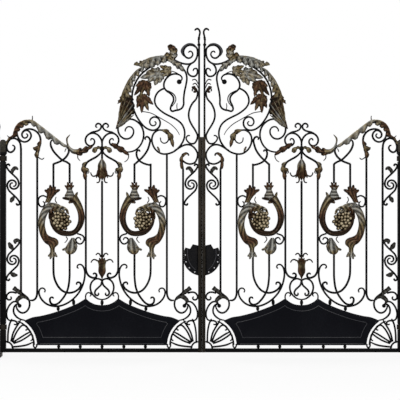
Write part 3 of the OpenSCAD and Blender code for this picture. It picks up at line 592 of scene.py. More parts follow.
garland = Relief()
GARLAND = [((1642, 2766), [(1600, 2804), (1530, 2812), (1524, 2752), (1556, 2704), (1606, 2738)], 36, 0.72),
           ((1534, 2748), [(1470, 2776), (1396, 2748), (1338, 2690), (1408, 2652), (1482, 2616),
                           (1532, 2640)], 52, 0.9),
           ((1392, 2662), [(1292, 2606), (1278, 2516), (1346, 2528), (1426, 2502), (1448, 2584)], 37, 0.2),
           ((1356, 2522), [(1298, 2458), (1304, 2390), (1352, 2340), (1420, 2364), (1468, 2424),
                           (1414, 2482)], 36, 0.3)]
for foot, tips, wide, tone in GARLAND:
    palm(garland, foot, tips, wide, tone, rise=0.020)
leaf(garland, [(1384, 2610), (1352, 2556), (1344, 2494), (1366, 2440)], [12, 20, 22, 8], [12, 16, 18, 8],
     teeth=3, cut=0.2, tone=0.5, rise=0.024, pleat=0.004)
print("crown grids", crown.count, "garland", garland.count)

# %% [markdown]
# ## Shoulder leaves and the small leaves on the bars
# Over the hanging side a leaf wraps the scroll, folds over and runs down the slope with its
# teeth on the lower edge. Small leaves hide the welds where bars cross or end. Teeth could be
# cut by hand in a thickened sheet; the leaf helpers get them from a spine and a few widths.

# %% Shoulder leaves
shoulder = Relief()
leaf(shoulder, [(2, 2020), (20, 2066), (52, 2100), (90, 2120)], [10, 16, 16, 8], [8, 12, 12, 8], teeth=3,
     cut=0.4, tone=[0.8, 0.4, 0.2])
ARC_RIM = [(62, 2092), (76, 2160), (100, 2214), (140, 2252), (196, 2272), (268, 2272)]
ARC_EDGE = [(112, 2110), (122, 2160), (150, 2186), (190, 2214), (228, 2226), (268, 2262)]
blade(shoulder, ARC_RIM, ARC_EDGE, None, teeth=5, cut=0.4, tone=[0.1, 0.3, 0.5, 0.9], rise=0.012,
      pleat=0.006)
fronds(shoulder, ARC_RIM, ARC_EDGE, count=5, lean=5, tones=[0.1, 0.35, 0.3, 0.6, 0.95], rise=0.017)
SLOPE_RIM = [(226, 2276), (275, 2266), (345, 2216), (437, 2144), (528, 2072), (624, 1998)]
SLOPE_EDGE = [(222, 2262), (272, 2196), (330, 2140), (404, 2078), (470, 2034), (536, 2006), (622, 1990)]
blade(shoulder, SLOPE_RIM, SLOPE_EDGE, None, teeth=5, cut=0.36, tone=[0.8, 0.95, 0.95, 0.9], rise=0.014,
      pleat=0.0042)
horn(shoulder, [(636, 2126), (600, 2088), (603, 2035), (620, 1981), (659, 1936), (720, 1924)],
     [(640, 2122), (616, 2081), (621, 2035), (645, 1997), (682, 1978), (736, 1981)], rise=0.02, ribs=1,
     rings=0, tone=[0.5, 0.7, 1.0, 0.95, 0.4], twist=0.4)
blade(shoulder, [(690, 1950), (770, 1958), (874, 2018)],
      [(700, 1984), (770, 2004), (830, 2020), (874, 2020)],
      [(706, 1900), (772, 1920), (836, 1966), (874, 2014)],
      teeth=3, cut=0.4, tone=[0.3, 0.12, 0.15], rise=0.015, pleat=0.009)

sprigs = Relief()
leaf(sprigs, [(350, 2075), (336, 2030), (322, 1975), (312, 1925), (306, 1888)], [12, 18, 18, 22, 12],
     [10, 28, 62, 40, 16], teeth=3, cut=0.5, tone=[0.3, 0.45, 0.35])
LYRE_LEAF = ([(1104, 1856), (1136, 1830), (1146, 1790), (1134, 1745), (1124, 1672)], [6, 20, 26, 24, 12],
             [6, 18, 64, 32, 12])
PAIRED = [(*LYRE_LEAF, 3, [0.8, 0.5, 0.25]),
          ([(960, 1968), (926, 1996), (890, 1980), (868, 1946)], [6, 16, 34, 24], [6, 14, 26, 20], 2, 0.62),
          ([(1490, 1294), (1454, 1310), (1418, 1340)], [14, 32, 14], [14, 32, 14], 2, 0.05)]
for spine, left, right, teeth, tone in PAIRED:
    leaf(sprigs, spine, left, right, teeth, cut=0.4, tone=tone)
    leaf(sprigs, turned_over(spine), right, left, teeth, cut=0.4, tone=tone)
SINGLE = [([(1550, 2170), (1606, 2152), (1640, 2100), (1654, 2050), (1668, 1998)], [14, 26, 34, 26, 6],
           [0.7, 0.55, 0.4]),
          ([(1645, 2852), (1688, 2836), (1730, 2806), (1772, 2758)], [14, 36, 38, 10], 0.95),
          ([(1808, 1938), (1768, 1922), (1748, 1880), (1750, 1780)], [12, 20, 22, 10], 0.4),
          ([(1050, 2036), (1108, 1998), (1166, 1964), (1226, 1918)], [16, 34, 32, 8], 0.15),
          ([(1508, 2005), (1520, 1980), (1532, 1952)], [8, 14, 6], 0.5),
          ([(1850, 2600), (1878, 2592), (1888, 2562), (1868, 2545)], [10, 20, 20, 8], -0.14)]
for spine, width, tone in SINGLE:
    leaf(sprigs, spine, width, width, teeth=3, cut=0.35, tone=tone)
print("shoulder", shoulder.count, "sprigs", sprigs.count)

# %% [markdown]
# ## Grey leaves beside the stiles
# The plump leaves in the lower corners and on the rosettes were left a dark grey. A leaf with
# hardly any teeth gives their shape, and a second patina their colour, so they are a piece of
# their own.

# %% Corner and rosette leaves
greys = Relief()
TWIN_LEAVES = [([(160, 524), (124, 554), (74, 594)], [10, 24, 22, 24]),
               ([(216, 470), (196, 496), (152, 502), (112, 468), (118, 440)], [6, 18, 24, 24, 12]),
               ([(60, 1736), (68, 1770), (94, 1790), (122, 1774)], [12, 21, 21, 8])]
STILE_LEAVES = [([(140, 1048), (116, 1066), (94, 1062), (92, 1030)], [8, 20, 22, 8]),
                ([(72, 976), (50, 1004), (26, 1046)], [14, 27, 10]),
                ([(44, 744), (76, 722), (116, 718)], [12, 27, 8]),
                ([(80, 1504), (60, 1474), (46, 1446)], [12, 25, 10])]
for spine, width in TWIN_LEAVES:
    for way in (list, turned_over):
        leaf(greys, way(spine), width, width, teeth=3, cut=0.12, tone=0.46, rise=0.016, pleat=0.006)
for spine, width in STILE_LEAVES:
    leaf(greys, spine, width, width, teeth=2, cut=0.08, tone=0.4, rise=0.016, pleat=0.006)
for side in SIDES:
    mesh = greys.mesh(f"{side}_grey_leaves", side == "right")
    add_detail(mesh.name, mesh, GREY_PATINA_AND_LIGHT, f"{side}_leaf")
print("grey leaves", greys.count)

# %% [markdown]
# ## Grape wreaths
# Two horns chase each other round a bunch of grapes. Each horn is the space between an outer
# and an inner edge, ribbed along its length, and ends in a flower. A bevelled curve would be
# round all along, so an arched grid between the two edges is used. The second wreath of a leaf
# is the mirror image of the first.

# %% Horns, flowers and husks
OUTER_A = [(1210, 1525), (1160, 1430), (1135, 1350), (1131, 1280), (1150, 1210), (1190, 1150),
           (1245, 1114), (1320, 1108), (1382, 1122), (1434, 1160), (1468, 1215), (1482, 1270),
           (1484, 1325)]
INNER_A = [(1258, 1455), (1222, 1398), (1200, 1340), (1195, 1275), (1207, 1222), (1232, 1182),
           (1270, 1162), (1322, 1164), (1368, 1178), (1406, 1208), (1434, 1246), (1456, 1290),
           (1478, 1328)]
OUTER_B = [(1352, 1404), (1392, 1430), (1446, 1444), (1502, 1436), (1543, 1396), (1574, 1340),
           (1590, 1280), (1592, 1220), (1584, 1160), (1566, 1102), (1530, 1045), (1486, 1015)]
INNER_B = [(1348, 1392), (1392, 1384), (1440, 1372), (1482, 1350), (1504, 1320), (1520, 1275),
           (1526, 1220), (1516, 1165), (1502, 1128), (1470, 1106), (1436, 1094), (1408, 1082)]
OVER_RIM = [(1284, 1330), (1306, 1384), (1366, 1414), (1436, 1400), (1484, 1344), (1488, 1280)]
OVER_EDGE = [(1300, 1320), (1324, 1352), (1366, 1362), (1420, 1346), (1460, 1310), (1474, 1276)]
wreath = Relief()
for way in (list, turned_over):
    horn(wreath, way(OUTER_A), way(INNER_A), rise=0.030, ribs=2, rings=0,
         tone=[0.75, 0.4, 0.02, -0.12, -0.16, -0.1, -0.05], twist=2.2)
    horn(wreath, way(OUTER_B), way(INNER_B), rise=0.030, ribs=2, rings=0,
         tone=[0.4, 1.0, 1.0, 0.95, 0.75, 0.5, 0.2, 0.06], twist=6.5)
    leaf(wreath, way([(1290, 1440), (1246, 1470), (1222, 1505), (1200, 1550)]), [14, 30, 26, 6],
         [14, 26, 18, 6], teeth=3, cut=0.35, tone=[0.2, 0.5, 0.75], rise=0.026)
    leaf(wreath, way([(1215, 1440), (1265, 1466), (1304, 1482), (1352, 1490)]), [14, 18, 18, 10],
         [12, 18, 20, 12], teeth=2, cut=0.3, tone=-0.1, rise=0.044)
    horn(wreath, way([(1246, 1470), (1230, 1510), (1244, 1550), (1264, 1595)]),
         way([(1318, 1470), (1330, 1510), (1312, 1550), (1302, 1595)]), rise=0.034, ribs=1, rings=4,
         tone=0.98)
    for tip in ((1236, 1616), (1252, 1650), (1302, 1650), (1330, 1616)):
        leaf(wreath, way([(1284, 1572), ((1284 + tip[0]) / 2, (1582 + tip[1]) / 2), tip]), [18, 20, 5],
             [18, 20, 5], teeth=2, cut=0.25, tone=0.35, rise=0.022)
    horn(wreath, way([(1472, 1450), (1452, 1486), (1418, 1530), (1392, 1566)]),
         way([(1530, 1440), (1512, 1490), (1508, 1530), (1514, 1562)]), rise=0.032, ribs=3, rings=0,
         tone=[0.5, 0.3, 0.2], twist=0)
    for tip in ((1376, 1574), (1420, 1604), (1474, 1622), (1500, 1588), (1530, 1570)):
        leaf(wreath, way([(1462, 1520), ((1462 + tip[0]) / 2, (1532 + tip[1]) / 2), tip]), [24, 26, 9],
             [24, 26, 9], teeth=2, cut=0.25, tone=0.22, rise=0.028)
    horn(wreath, way([(1232, 1092), (1212, 1040), (1206, 985), (1228, 945), (1262, 926)]),
         way([(1262, 1092), (1300, 1035), (1322, 985), (1320, 950), (1296, 926)]), rise=0.036, ribs=2,
         rings=0, tone=[1.0, 1.05, 0.9, 0.25], twist=0.4)
    leaf(wreath, way([(1284, 1016), (1318, 985), (1354, 970)]), [20, 18, 10], [18, 16, 10], teeth=2,
         cut=0.25, tone=0.8, rise=0.03)
    leaf(wreath, way([(1240, 1090), (1222, 1010), (1250, 930)]), [8, 22, 6], [8, 12, 6], teeth=3,
         cut=0.25, tone=0.9, rise=0.04)
    horn(wreath, way([(1500, 1092), (1440, 1096), (1398, 1070), (1392, 1030), (1418, 1000)]),
         way([(1530, 1060), (1500, 1030), (1486, 1010), (1480, 996), (1476, 990)]), rise=0.034, ribs=3,
         rings=0, tone=[0.2, 0.3, 0.6], twist=1.0)
    horn(wreath, way([(1420, 1010), (1428, 975), (1424, 940), (1408, 905)]),
         way([(1478, 1010), (1474, 975), (1476, 940), (1490, 905)]), rise=0.028, ribs=2, rings=0,
         tone=[0.4, 0.8, 0.95], twist=0)
    for tip in ((1404, 900), (1438, 888), (1474, 878), (1496, 906)):
        leaf(wreath, way([(1446, 950), ((1446 + tip[0]) / 2, 924), tip]), [20, 20, 6], [20, 20, 6], teeth=2,
             cut=0.25, tone=0.85, rise=0.022)
    blade(wreath, way(OVER_RIM), way(OVER_EDGE), None, teeth=6, cut=0.3,
          tone=[0.3, 0.9, 0.6, 0.05, 0.05], rise=0.034, pleat=0.008)
    leaf(wreath, way([(1446, 1366), (1392, 1372), (1330, 1338)]), [18, 26, 6], [18, 30, 6], teeth=3,
         cut=0.25, tone=[0.3, 0.8, 0.9], rise=0.044)
    leaf(wreath, way([(1500, 1440), (1452, 1420), (1400, 1398), (1352, 1396)]), [14, 22, 18, 6],
         [18, 30, 22, 6], teeth=4, cut=0.3, tone=[1.0, 1.0, 0.4], rise=0.036)
print("wreath grid points", wreath.count)

# %% [markdown]
# ## Geometry Nodes: grapes and studs
# Grapes and studs are the same small ball many times, so one tree does both. It reads the
# points of a mesh, puts a ball on each, sizes it by the point's own `size`, and hands back real
# faces with their paint. Balls could be copied one by one, but then each new size means doing
# all of it again.

# %% The tree that sets balls on points
def new_tree(name, inputs):
    tree = bpy.data.node_groups.new(name, "GeometryNodeTree")
    tree.interface.new_socket("Geometry", in_out="INPUT", socket_type="NodeSocketGeometry")
    for label, kind, default in inputs:
        tree.interface.new_socket(label, in_out="INPUT", socket_type=kind).default_value = default
    tree.interface.new_socket("Geometry", in_out="OUTPUT", socket_type="NodeSocketGeometry")
    return tree, tree.nodes.new("NodeGroupInput"), tree.nodes.new("NodeGroupOutput")


def place_node(tree, kind, options=None, sockets=None):
    n = tree.nodes.new(kind)
    for key, value in (options or {}).items():
        setattr(n, key, value)
    for key, value in (sockets or {}).items():
        if isinstance(value, bpy.types.NodeSocket):
            tree.links.new(value, n.inputs[key])
        else:
            n.inputs[key].default_value = value
    return n


def ball_tree(name, paint):
    tree, given, result = new_tree(name, [("Ball radius", "NodeSocketFloat", 0.02),
                                          ("Smoothness", "NodeSocketInt", 3)])
    ball = place_node(tree, "GeometryNodeMeshIcoSphere", {}, {"Radius": given.outputs["Ball radius"],
                                                               "Subdivisions": given.outputs["Smoothness"]})
    size = place_node(tree, "GeometryNodeInputNamedAttribute", {"data_type": "FLOAT"}, {"Name": "size"})
    spots = place_node(tree, "GeometryNodeMeshToPoints", {}, {"Mesh": given.outputs["Geometry"]})
    set_out = place_node(tree, "GeometryNodeInstanceOnPoints", {},
                         {"Points": spots.outputs["Points"], "Instance": ball.outputs["Mesh"],
                          "Scale": size.outputs["Attribute"]})
    real = place_node(tree, "GeometryNodeRealizeInstances", {}, {"Geometry": set_out.outputs["Instances"]})
    dressed = place_node(tree, "GeometryNodeSetMaterial", {}, {"Geometry": real.outputs["Geometry"],
                                                               "Material": paint})
    tree.links.new(dressed.outputs["Geometry"], result.inputs["Geometry"])
    return tree


def grown(name, source, tree, settings):
    """Runs a tree on a mesh and hands back the result as a plain mesh."""
    holder = bpy.data.objects.new(name, source)
    bpy.context.scene.collection.objects.link(holder)
    mod = holder.modifiers.new("grow", "NODES")
    mod.node_group = tree
    for s in tree.interface.items_tree:
        if s.in_out == "INPUT" and s.name in settings:
            mod[s.identifier] = settings[s.name]
    result = bpy.data.meshes.new_from_object(holder.evaluated_get(bpy.context.evaluated_depsgraph_get()))
    bpy.data.objects.remove(holder)
    result.name = name
    return result


def points_mesh(name, points, sizes):
    mesh = bpy.data.meshes.new(name)
    mesh.from_pydata([tuple(p) for p in points], [], [])
    mesh.attributes.new("size", "FLOAT", "POINT").data.foreach_set("value", np.asarray(sizes, float))
    return mesh


def put_ridges_and_light(mesh, ridge, tone):
    for key, value in (("ridge", ridge), ("tone", tone)):
        layer = mesh.attributes.get(key) or mesh.attributes.new(key, "FLOAT", "POINT")
        layer.data.foreach_set("value", np.broadcast_to(np.asarray(value, float),
                                                        (len(mesh.vertices),)).copy())


def coordinates(mesh):
    co = np.empty(len(mesh.vertices) * 3)
    mesh.vertices.foreach_get("co", co)
    return co.reshape(-1, 3)


print("ball tree ready")

# %% [markdown]
# ## Bunches of grapes
# Grapes are cast in a low heap on both faces of the wreath. A random scatter would leave holes
# and overlaps, so each next grape turns by the golden angle, as seeds do in a sunflower. One
# stretched ball in the middle closes the gaps between them; it is coloured as dark as a deep
# fold, which paints the shade between the grapes. Each grape is paler towards its front and
# top, a painted highlight.

# %% Grapes
GRAPE = 0.0185
GRAPES, GOLDEN_ANGLE = 28, 137.5
HEAP_WIDE, HEAP_HIGH, HEAP_FOOT, HEAP_RISE = 0.088, 0.100, 0.012, 0.030
CORE_STRETCH = (4.5, 1.0, 5.1)
BUNCH = [(1364, 1262)]
bunches = on_leaf(BUNCH + turned_over(BUNCH))
heap, swell = [], []
for cx, cz in bunches:
    for k in range(GRAPES):
        q, a = math.sqrt((k + 0.45) / GRAPES), math.radians(GOLDEN_ANGLE * k + 20)
        deep = HEAP_FOOT + HEAP_RISE * (1 - q * q)
        for face in (-1, 1):
            heap.append((cx + HEAP_WIDE * q * math.cos(a), face * deep, cz + HEAP_HIGH * q * math.sin(a)))
            swell.append(0.9 + 0.2 * ((k * 7) % 5) / 4)
cores = len(heap)
heap += [(cx, 0.0, cz) for cx, cz in bunches]
swell += [1.0, 1.0]
heap = np.array(heap)
grape_tree = ball_tree("grapes in a heap", GRAPE_PATINA_AND_LIGHT)
for side in SIDES:
    mesh = grown(f"{side}_grape_bunches", points_mesh("grape spots", heap, swell), grape_tree,
                 {"Ball radius": GRAPE, "Smoothness": 3})
    co = coordinates(mesh)
    own = np.array([int(np.linalg.norm(heap - p, axis=1).argmin()) for p in co])
    up = (np.abs(co[:, 1]) - np.abs(heap[own][:, 1])) / GRAPE
    high = (co[:, 2] - heap[own][:, 2]) / GRAPE
    core = own >= cores
    # painted highlight towards each grape's front and top; the core ball gets 0, painted shade between
    # grapes
    put_ridges_and_light(mesh, np.where(core, 0, np.clip(0.9 * np.clip(up, 0, 1) ** 1.3 + 0.2 * high, 0, 1)),
               ((own * 37) % 11) / 10)
    co[core] = heap[own[core]] + (co[core] - heap[own[core]]) * CORE_STRETCH
    mesh.vertices.foreach_set("co", co.ravel())
    add_piece(f"{side}_grape_bunches", settle(mesh, side == "right", sharp=60), GRAPE_PATINA_AND_LIGHT,
              f"{side}_grapes")
print("grapes", len(heap), "faces", len(mesh.polygons))

# %% [markdown]
# ## Studs of the kick panel
# Round studs stand between the panel and the rail, and longer ones link the panel to the loops
# above it. They use the same tree as the grapes, and each ball is then pulled taller about its
# own middle.

# %% Studs above and below the kick panel
STUD, BEAD_TALL = 0.0165, 1.15
beads = [(x, 4) for x in (525, 740, 957, 1174, 1389)]
links = [(520, 384, 1.5), (674, 446, 2.0), (957, 444, 1.7), (1240, 446, 2.0), (1394, 384, 1.5)]
spots = on_leaf(beads + [k[:2] for k in links])
tall = np.array([BEAD_TALL] * len(beads) + [k[2] for k in links])
stud_tree = ball_tree("panel studs", FRAME_PAINT)
for side in SIDES:
    source = points_mesh("stud spots", [(x, 0, z) for x, z in spots], np.ones(len(spots)))
    mesh = grown(f"{side}_studs", source, stud_tree, {"Ball radius": STUD, "Smoothness": 4})
    co = coordinates(mesh)
    own = np.argmin(np.abs(co[:, :1] - spots[:, 0]) + np.abs(co[:, 2:] - spots[:, 1]), axis=1)
    co[:, 2] = spots[own, 1] + (co[:, 2] - spots[own, 1]) * tall[own]
    mesh.vertices.foreach_set("co", co.ravel())
    add_piece(f"{side}_studs", settle(mesh, side == "right", sharp=60), FRAME_PAINT, f"{side}_panel_studs")
print("studs", len(spots))

# %% [markdown]
# ## Geometry Nodes: drawn wire
# Tendrils, stems and the fine bead on the kick panel are wire laid along a line. The tree
# turns a chain of edges into a curve, gives it a radius that tapers towards the end, and runs
# a round section along it.

# %% The tree that runs wire along a line
def wire_tree(name, paint):
    tree, given, result = new_tree(name, [("Wire radius", "NodeSocketFloat", 0.004),
                                          ("Sides", "NodeSocketInt", 8),
                                          ("Taper", "NodeSocketFloat", 0.6)])
    path = place_node(tree, "GeometryNodeMeshToCurve", {}, {"Mesh": given.outputs["Geometry"]})
    along = place_node(tree, "GeometryNodeSplineParameter")
    thinner = place_node(tree, "ShaderNodeMath", {"operation": "MULTIPLY"}, {0: along.outputs["Factor"],
                                                                            1: given.outputs["Taper"]})
    share = place_node(tree, "ShaderNodeMath", {"operation": "SUBTRACT"}, {0: 1.0, 1: thinner.outputs[0]})
    ring = place_node(tree, "GeometryNodeCurvePrimitiveCircle", {}, {"Resolution": given.outputs["Sides"],
                                                                    "Radius": given.outputs["Wire radius"]})
    tube = place_node(tree, "GeometryNodeCurveToMesh", {}, {"Curve": path.outputs["Curve"],
                                                            "Profile Curve": ring.outputs["Curve"],
                                                            "Fill Caps": True, "Scale": share.outputs[0]})
    real = place_node(tree, "GeometryNodeRealizeInstances", {}, {"Geometry": tube.outputs["Mesh"]})
    dressed = place_node(tree, "GeometryNodeSetMaterial", {}, {"Geometry": real.outputs["Geometry"],
                                                               "Material": paint})
    tree.links.new(dressed.outputs["Geometry"], result.inputs["Geometry"])
    return tree


def chain_mesh(name, lines):
    points, edges = [], []
    for line in lines:
        edges += [(len(points) + i, len(points) + i + 1) for i in range(len(line) - 1)]
        points += [tuple(p) for p in line]
    mesh = bpy.data.meshes.new(name)
    mesh.from_pydata(points, edges, [])
    return mesh


def join_meshes(name, *meshes):
    bm = bmesh.new()
    for m in meshes:
        bm.from_mesh(m)
    whole = bpy.data.meshes.new(name)
    bm.to_mesh(whole)
    bm.free()
    return whole


def upright_line(points, steps=8, y=0.0):
    return [(x, y, z) for x, z in on_leaf(bend(points, steps))]


print("wire tree ready")

# %% [markdown]
# ## Leaves with their tendrils
# Thin tendrils spring from some of the leaves. The leaf grids can't hold a round wire, so the
# wire tree makes the tendrils, and each is joined to the mesh of its leaves.

# %% Tendrils, and the leaves as pieces
tendril_tree = wire_tree("tendrils", LEAF_PATINA_AND_LIGHT)
SHOULDER_TENDRILS = [[(258, 2262), (264, 2288), (262, 2312)], [(60, 2090), (36, 2094), (12, 2114)],
                     [(716, 1928), (716, 1890), (738, 1862)], [(600, 1985), (590, 1966), (586, 1950)]]
SPRIG_TENDRILS = [[(1185, 1950), (1214, 1932), (1222, 1902), (1206, 1868), (1180, 1850)],
                  [(800, 1740), (824, 1742), (826, 1764)], [(1114, 1740), (1090, 1742), (1088, 1764)]]
WREATH_TENDRILS = [[(1408, 1440), (1424, 1470), (1414, 1502)],
                   [(1316, 1104), (1302, 1080), (1316, 1054), (1330, 1042)]]
WREATH_TENDRILS += [turned_over(t) for t in WREATH_TENDRILS]


def leaves_with_tendrils(side, node, relief, tendrils, radius=0.006):
    mesh = relief.mesh(f"{side}_{node}_relief", side == "right")
    if tendrils:
        wire = grown("wire", chain_mesh("lines", [upright_line(t) for t in tendrils]), tendril_tree,
                     {"Wire radius": radius, "Sides": 8, "Taper": 0.3})
        put_ridges_and_light(wire, 0.2, 0.05)
        mesh = join_meshes(mesh.name, mesh, settle(wire, side == "right", sharp=60))
    return add_piece(f"{side}_{node}_relief", mesh, LEAF_PATINA_AND_LIGHT, f"{side}_{node}")


for side in SIDES:
    for node, relief, tendrils in (("crest_acanthus", crown, None), ("oak_spray", garland, None),
                                   ("shoulder_acanthus", shoulder, SHOULDER_TENDRILS),
                                   ("bar_leaves", sprigs, SPRIG_TENDRILS),
                                   ("wreath_horns", wreath, WREATH_TENDRILS)):
        made = leaves_with_tendrils(side, node, relief, tendrils)
        print(made.name, len(made.data.polygons))

# %% [markdown]
# ## The bead of the kick panel
# A thin rolled bead runs along the inside of the raised border, and its top catches a grey
# line of light all the way round. The sheet has no edge there to bevel, so a wire is laid on its
# face, and its grey paint is that line of light: a painted highlight. It follows the panel's
# outline, set in by the border's width.

# %% Bead along the border
PANEL_EDGE = [(190, 268), (265, 298), (340, 310), (440, 334), (540, 366), (640, 404), (720, 440),
              (795, 487)]
PANEL_DIP = [(795, 487), (836, 452), (892, 426), (957, 418)]
BORDER = 58
BEAD_WIRE = {"Wire radius": 0.0034, "Sides": 8, "Taper": 0.0}
PANEL_FACE = 0.0062
CORNER_AT, CORNER_REACH, CORNER_DEGREES = 15, 362, (13, 19, 25, 31, 37)
SLOPE_FROM, SLOPE_TO, DIP_FROM = 308, 794, 796
FOOT_HIGH, FOOT_FROM, FOOT_TO, FOOT_STEP = 34, 340, 1575, 123


def set_in(line, by):
    step = np.gradient(line, axis=0)
    step /= np.linalg.norm(step, axis=1)[:, None]
    return line + by * np.stack([step[:, 1], -step[:, 0]], 1)


slope = set_in(bend(PANEL_EDGE, 6), BORDER)
dip = set_in(bend(PANEL_DIP, 6), BORDER)
corner_arc = [(CORNER_AT + CORNER_REACH * math.cos(a), CORNER_AT + CORNER_REACH * math.sin(a))
              for a in map(math.radians, CORNER_DEGREES)]
half_bead = corner_arc + [tuple(q) for q in slope if SLOPE_FROM < q[0] < SLOPE_TO]
half_bead += [tuple(q) for q in dip if q[0] > DIP_FROM]
around = half_bead + turned_over(half_bead[:-1])[::-1]
around += [around[0]]
foot_bead = [(x, FOOT_HIGH) for x in range(FOOT_FROM, FOOT_TO, FOOT_STEP)]


def on_both_faces(lines, face):
    return [[(x, y, z) for x, z in on_leaf(line)] for line in lines for y in (-face, face)]


bead_lines = on_both_faces((around, foot_bead), PANEL_FACE)
bead_tree = wire_tree("panel bead", BEAD_PAINT)
for side in SIDES:
    bead = grown("bead", chain_mesh("lines", bead_lines), bead_tree, BEAD_WIRE)
    add_detail(f"{side}_panel_bead", settle(bead, side == "right", sharp=60), BEAD_PAINT, f"{side}_leaf")
print("bead points", len(around))

# %% [markdown]
# ## The bead of the lock plate
# The lock plate is a horseshoe with a raised bead inside its rim and a small rim round each
# nail hole. Both are lines on an ellipse or a circle, so the wire tree of the panel's bead
# makes them too, in the same grey paint: a painted highlight on the bead and the nail rims.

# %% Bead inside the rim of the lock plate
SHOE_X, SHOE_Z, SHOE_WIDE, SHOE_HIGH = 1951, 940, 143, 185
NAIL_Z, NAIL_RING, NAIL_EYE = 900, 165, 7.5
LOCK_FACE = 0.0072


def oval(x, z, wide, high, angles):
    return [(x + wide * math.cos(a), z + high * math.sin(a)) for a in angles]


shoe = oval(SHOE_X, SHOE_Z, SHOE_WIDE, SHOE_HIGH, map(math.radians, range(166, 250, 6)))
nails = oval(SHOE_X, NAIL_Z, NAIL_RING, NAIL_RING, map(math.radians, (173, 197, 221, 245)))
eyes = [oval(x, z, NAIL_EYE, NAIL_EYE, np.linspace(0, 2 * math.pi, 17)) for x, z in nails]
shoe_lines = on_both_faces((shoe, *eyes), LOCK_FACE)
for side in SIDES:
    bead = grown("bead", chain_mesh("lines", shoe_lines), bead_tree, BEAD_WIRE)
    add_detail(f"{side}_lock_bead", settle(bead, side == "right", sharp=60), BEAD_PAINT, f"{side}_leaf")
print("lock bead points", len(shoe))

# %% [markdown]
# ## Geometry Nodes: forged bars
# Every scroll and upright is one bar bent along a drawn line, so one tree makes them all: a
# rounded rectangle runs along the curve, turned so that its depth always faces the viewer. A
# smith draws the end of a scroll out thinner before rolling it up; the point attribute
# `share` holds how much of the full section is left.

# %% The tree that sweeps a bar
def bar_tree(name, paint):
    tree, given, result = new_tree(name, [("Bar width", "NodeSocketFloat", 0.016),
                                          ("Bar depth", "NodeSocketFloat", 0.02),
                                          ("Rounding", "NodeSocketFloat", 0.003)])
    path = place_node(tree, "GeometryNodeMeshToCurve", {}, {"Mesh": given.outputs["Geometry"]})
    faced = place_node(tree, "GeometryNodeSetCurveNormal", {"mode": "FREE"},
                       {"Curve": path.outputs["Curve"], "Normal": (0.0, 1.0, 0.0)})
    section = place_node(tree, "GeometryNodeCurvePrimitiveQuadrilateral", {}, {
        "Width": given.outputs["Bar depth"], "Height": given.outputs["Bar width"]})
    eased = place_node(tree, "GeometryNodeFilletCurve", {"mode": "POLY"},
                       {"Curve": section.outputs["Curve"], "Count": 2,
                        "Radius": given.outputs["Rounding"], "Limit Radius": True})
    share = place_node(tree, "GeometryNodeInputNamedAttribute", {"data_type": "FLOAT"}, {"Name": "share"})
    bar = place_node(tree, "GeometryNodeCurveToMesh", {}, {
        "Curve": faced.outputs["Curve"], "Profile Curve": eased.outputs["Curve"], "Fill Caps": True,
        "Scale": share.outputs["Attribute"]})
    real = place_node(tree, "GeometryNodeRealizeInstances", {}, {"Geometry": bar.outputs["Mesh"]})
    dressed = place_node(tree, "GeometryNodeSetMaterial", {}, {"Geometry": real.outputs["Geometry"],
                                                               "Material": paint})
    tree.links.new(dressed.outputs["Geometry"], result.inputs["Geometry"])
    return tree


scroll_tree = bar_tree("forged bar", BAR_PAINT)
BAR, SCROLL, CURL, FINE, HAIR = 21, 19, 15, 11, 9  # widths in mm
BAR_DEPTH = 0.02
KNOB = 20  # radius in mm of the ball that every knob is scaled from


def bar(points, width=SCROLL, start=1.0, end=0.7):
    return (points, width, start, end)


def pair(points, width=SCROLL, start=1.0, end=0.7):
    return [bar(points, width, start, end), bar(turned_over(points), width, start, end)]


knob_tree = ball_tree("forged knobs", BAR_PAINT)


def swept(side, name, bars, knobs=()):
    """The mesh of one side's bars, and of its knobs, drawn as (x, z, radius)."""
    parts = []
    for width in sorted({b[1] for b in bars}):
        lines, shares = [], []
        for points, w, start, end in bars:
            if w != width:
                continue
            line = upright_line(points, 8 if len(points) > 2 else 1)
            t = np.linspace(0, 1, len(line))
            lines.append(line)
            hair = 1 - 0.012 * (len(shares) % 4) - 0.004 * (width % 3)
            shares.append(hair * np.minimum(1, np.minimum(start + (1 - start) * t / 0.3,
                                                          end + (1 - end) * (1 - t) / 0.3)))
        chain = chain_mesh("lines", lines)
        chain.attributes.new("share", "FLOAT", "POINT").data.foreach_set("value", np.concatenate(shares))
        parts.append(grown("bars", chain, scroll_tree, {"Bar width": width / MM, "Bar depth": BAR_DEPTH,
                                                        "Rounding": 0.0035 if width > 12 else 0.0028}))
    if knobs:
        places = [(x, 0, z) for x, z in on_leaf([k[:2] for k in knobs])]
        parts.append(grown("knobs", points_mesh("knob spots", places, [k[2] / KNOB for k in knobs]),
                           knob_tree, {"Ball radius": KNOB / MM, "Smoothness": 4}))
    return settle(join_meshes(name, *parts), side == "right", sharp=38)


def forged(node, bars, knobs=()):
    """Makes one node of both leaves from its bars and knobs."""
    for side in SIDES:
        mesh = swept(side, f"{side}_{node}_forged", bars, knobs)
        add_piece(mesh.name, mesh, BAR_PAINT, f"{side}_{node}")
    print(f"{node}: {len(bars)} bars, {len(mesh.polygons)} faces")


# %% [markdown]
# ## The grille
# Eleven uprights stand 161.5 mm apart. Their feet bend into loops, and their tops cross and
# curl under the scrolls above. Each could be a curve object with a bevel; the bar tree gives all
# of them the same section and leaves one plain mesh.

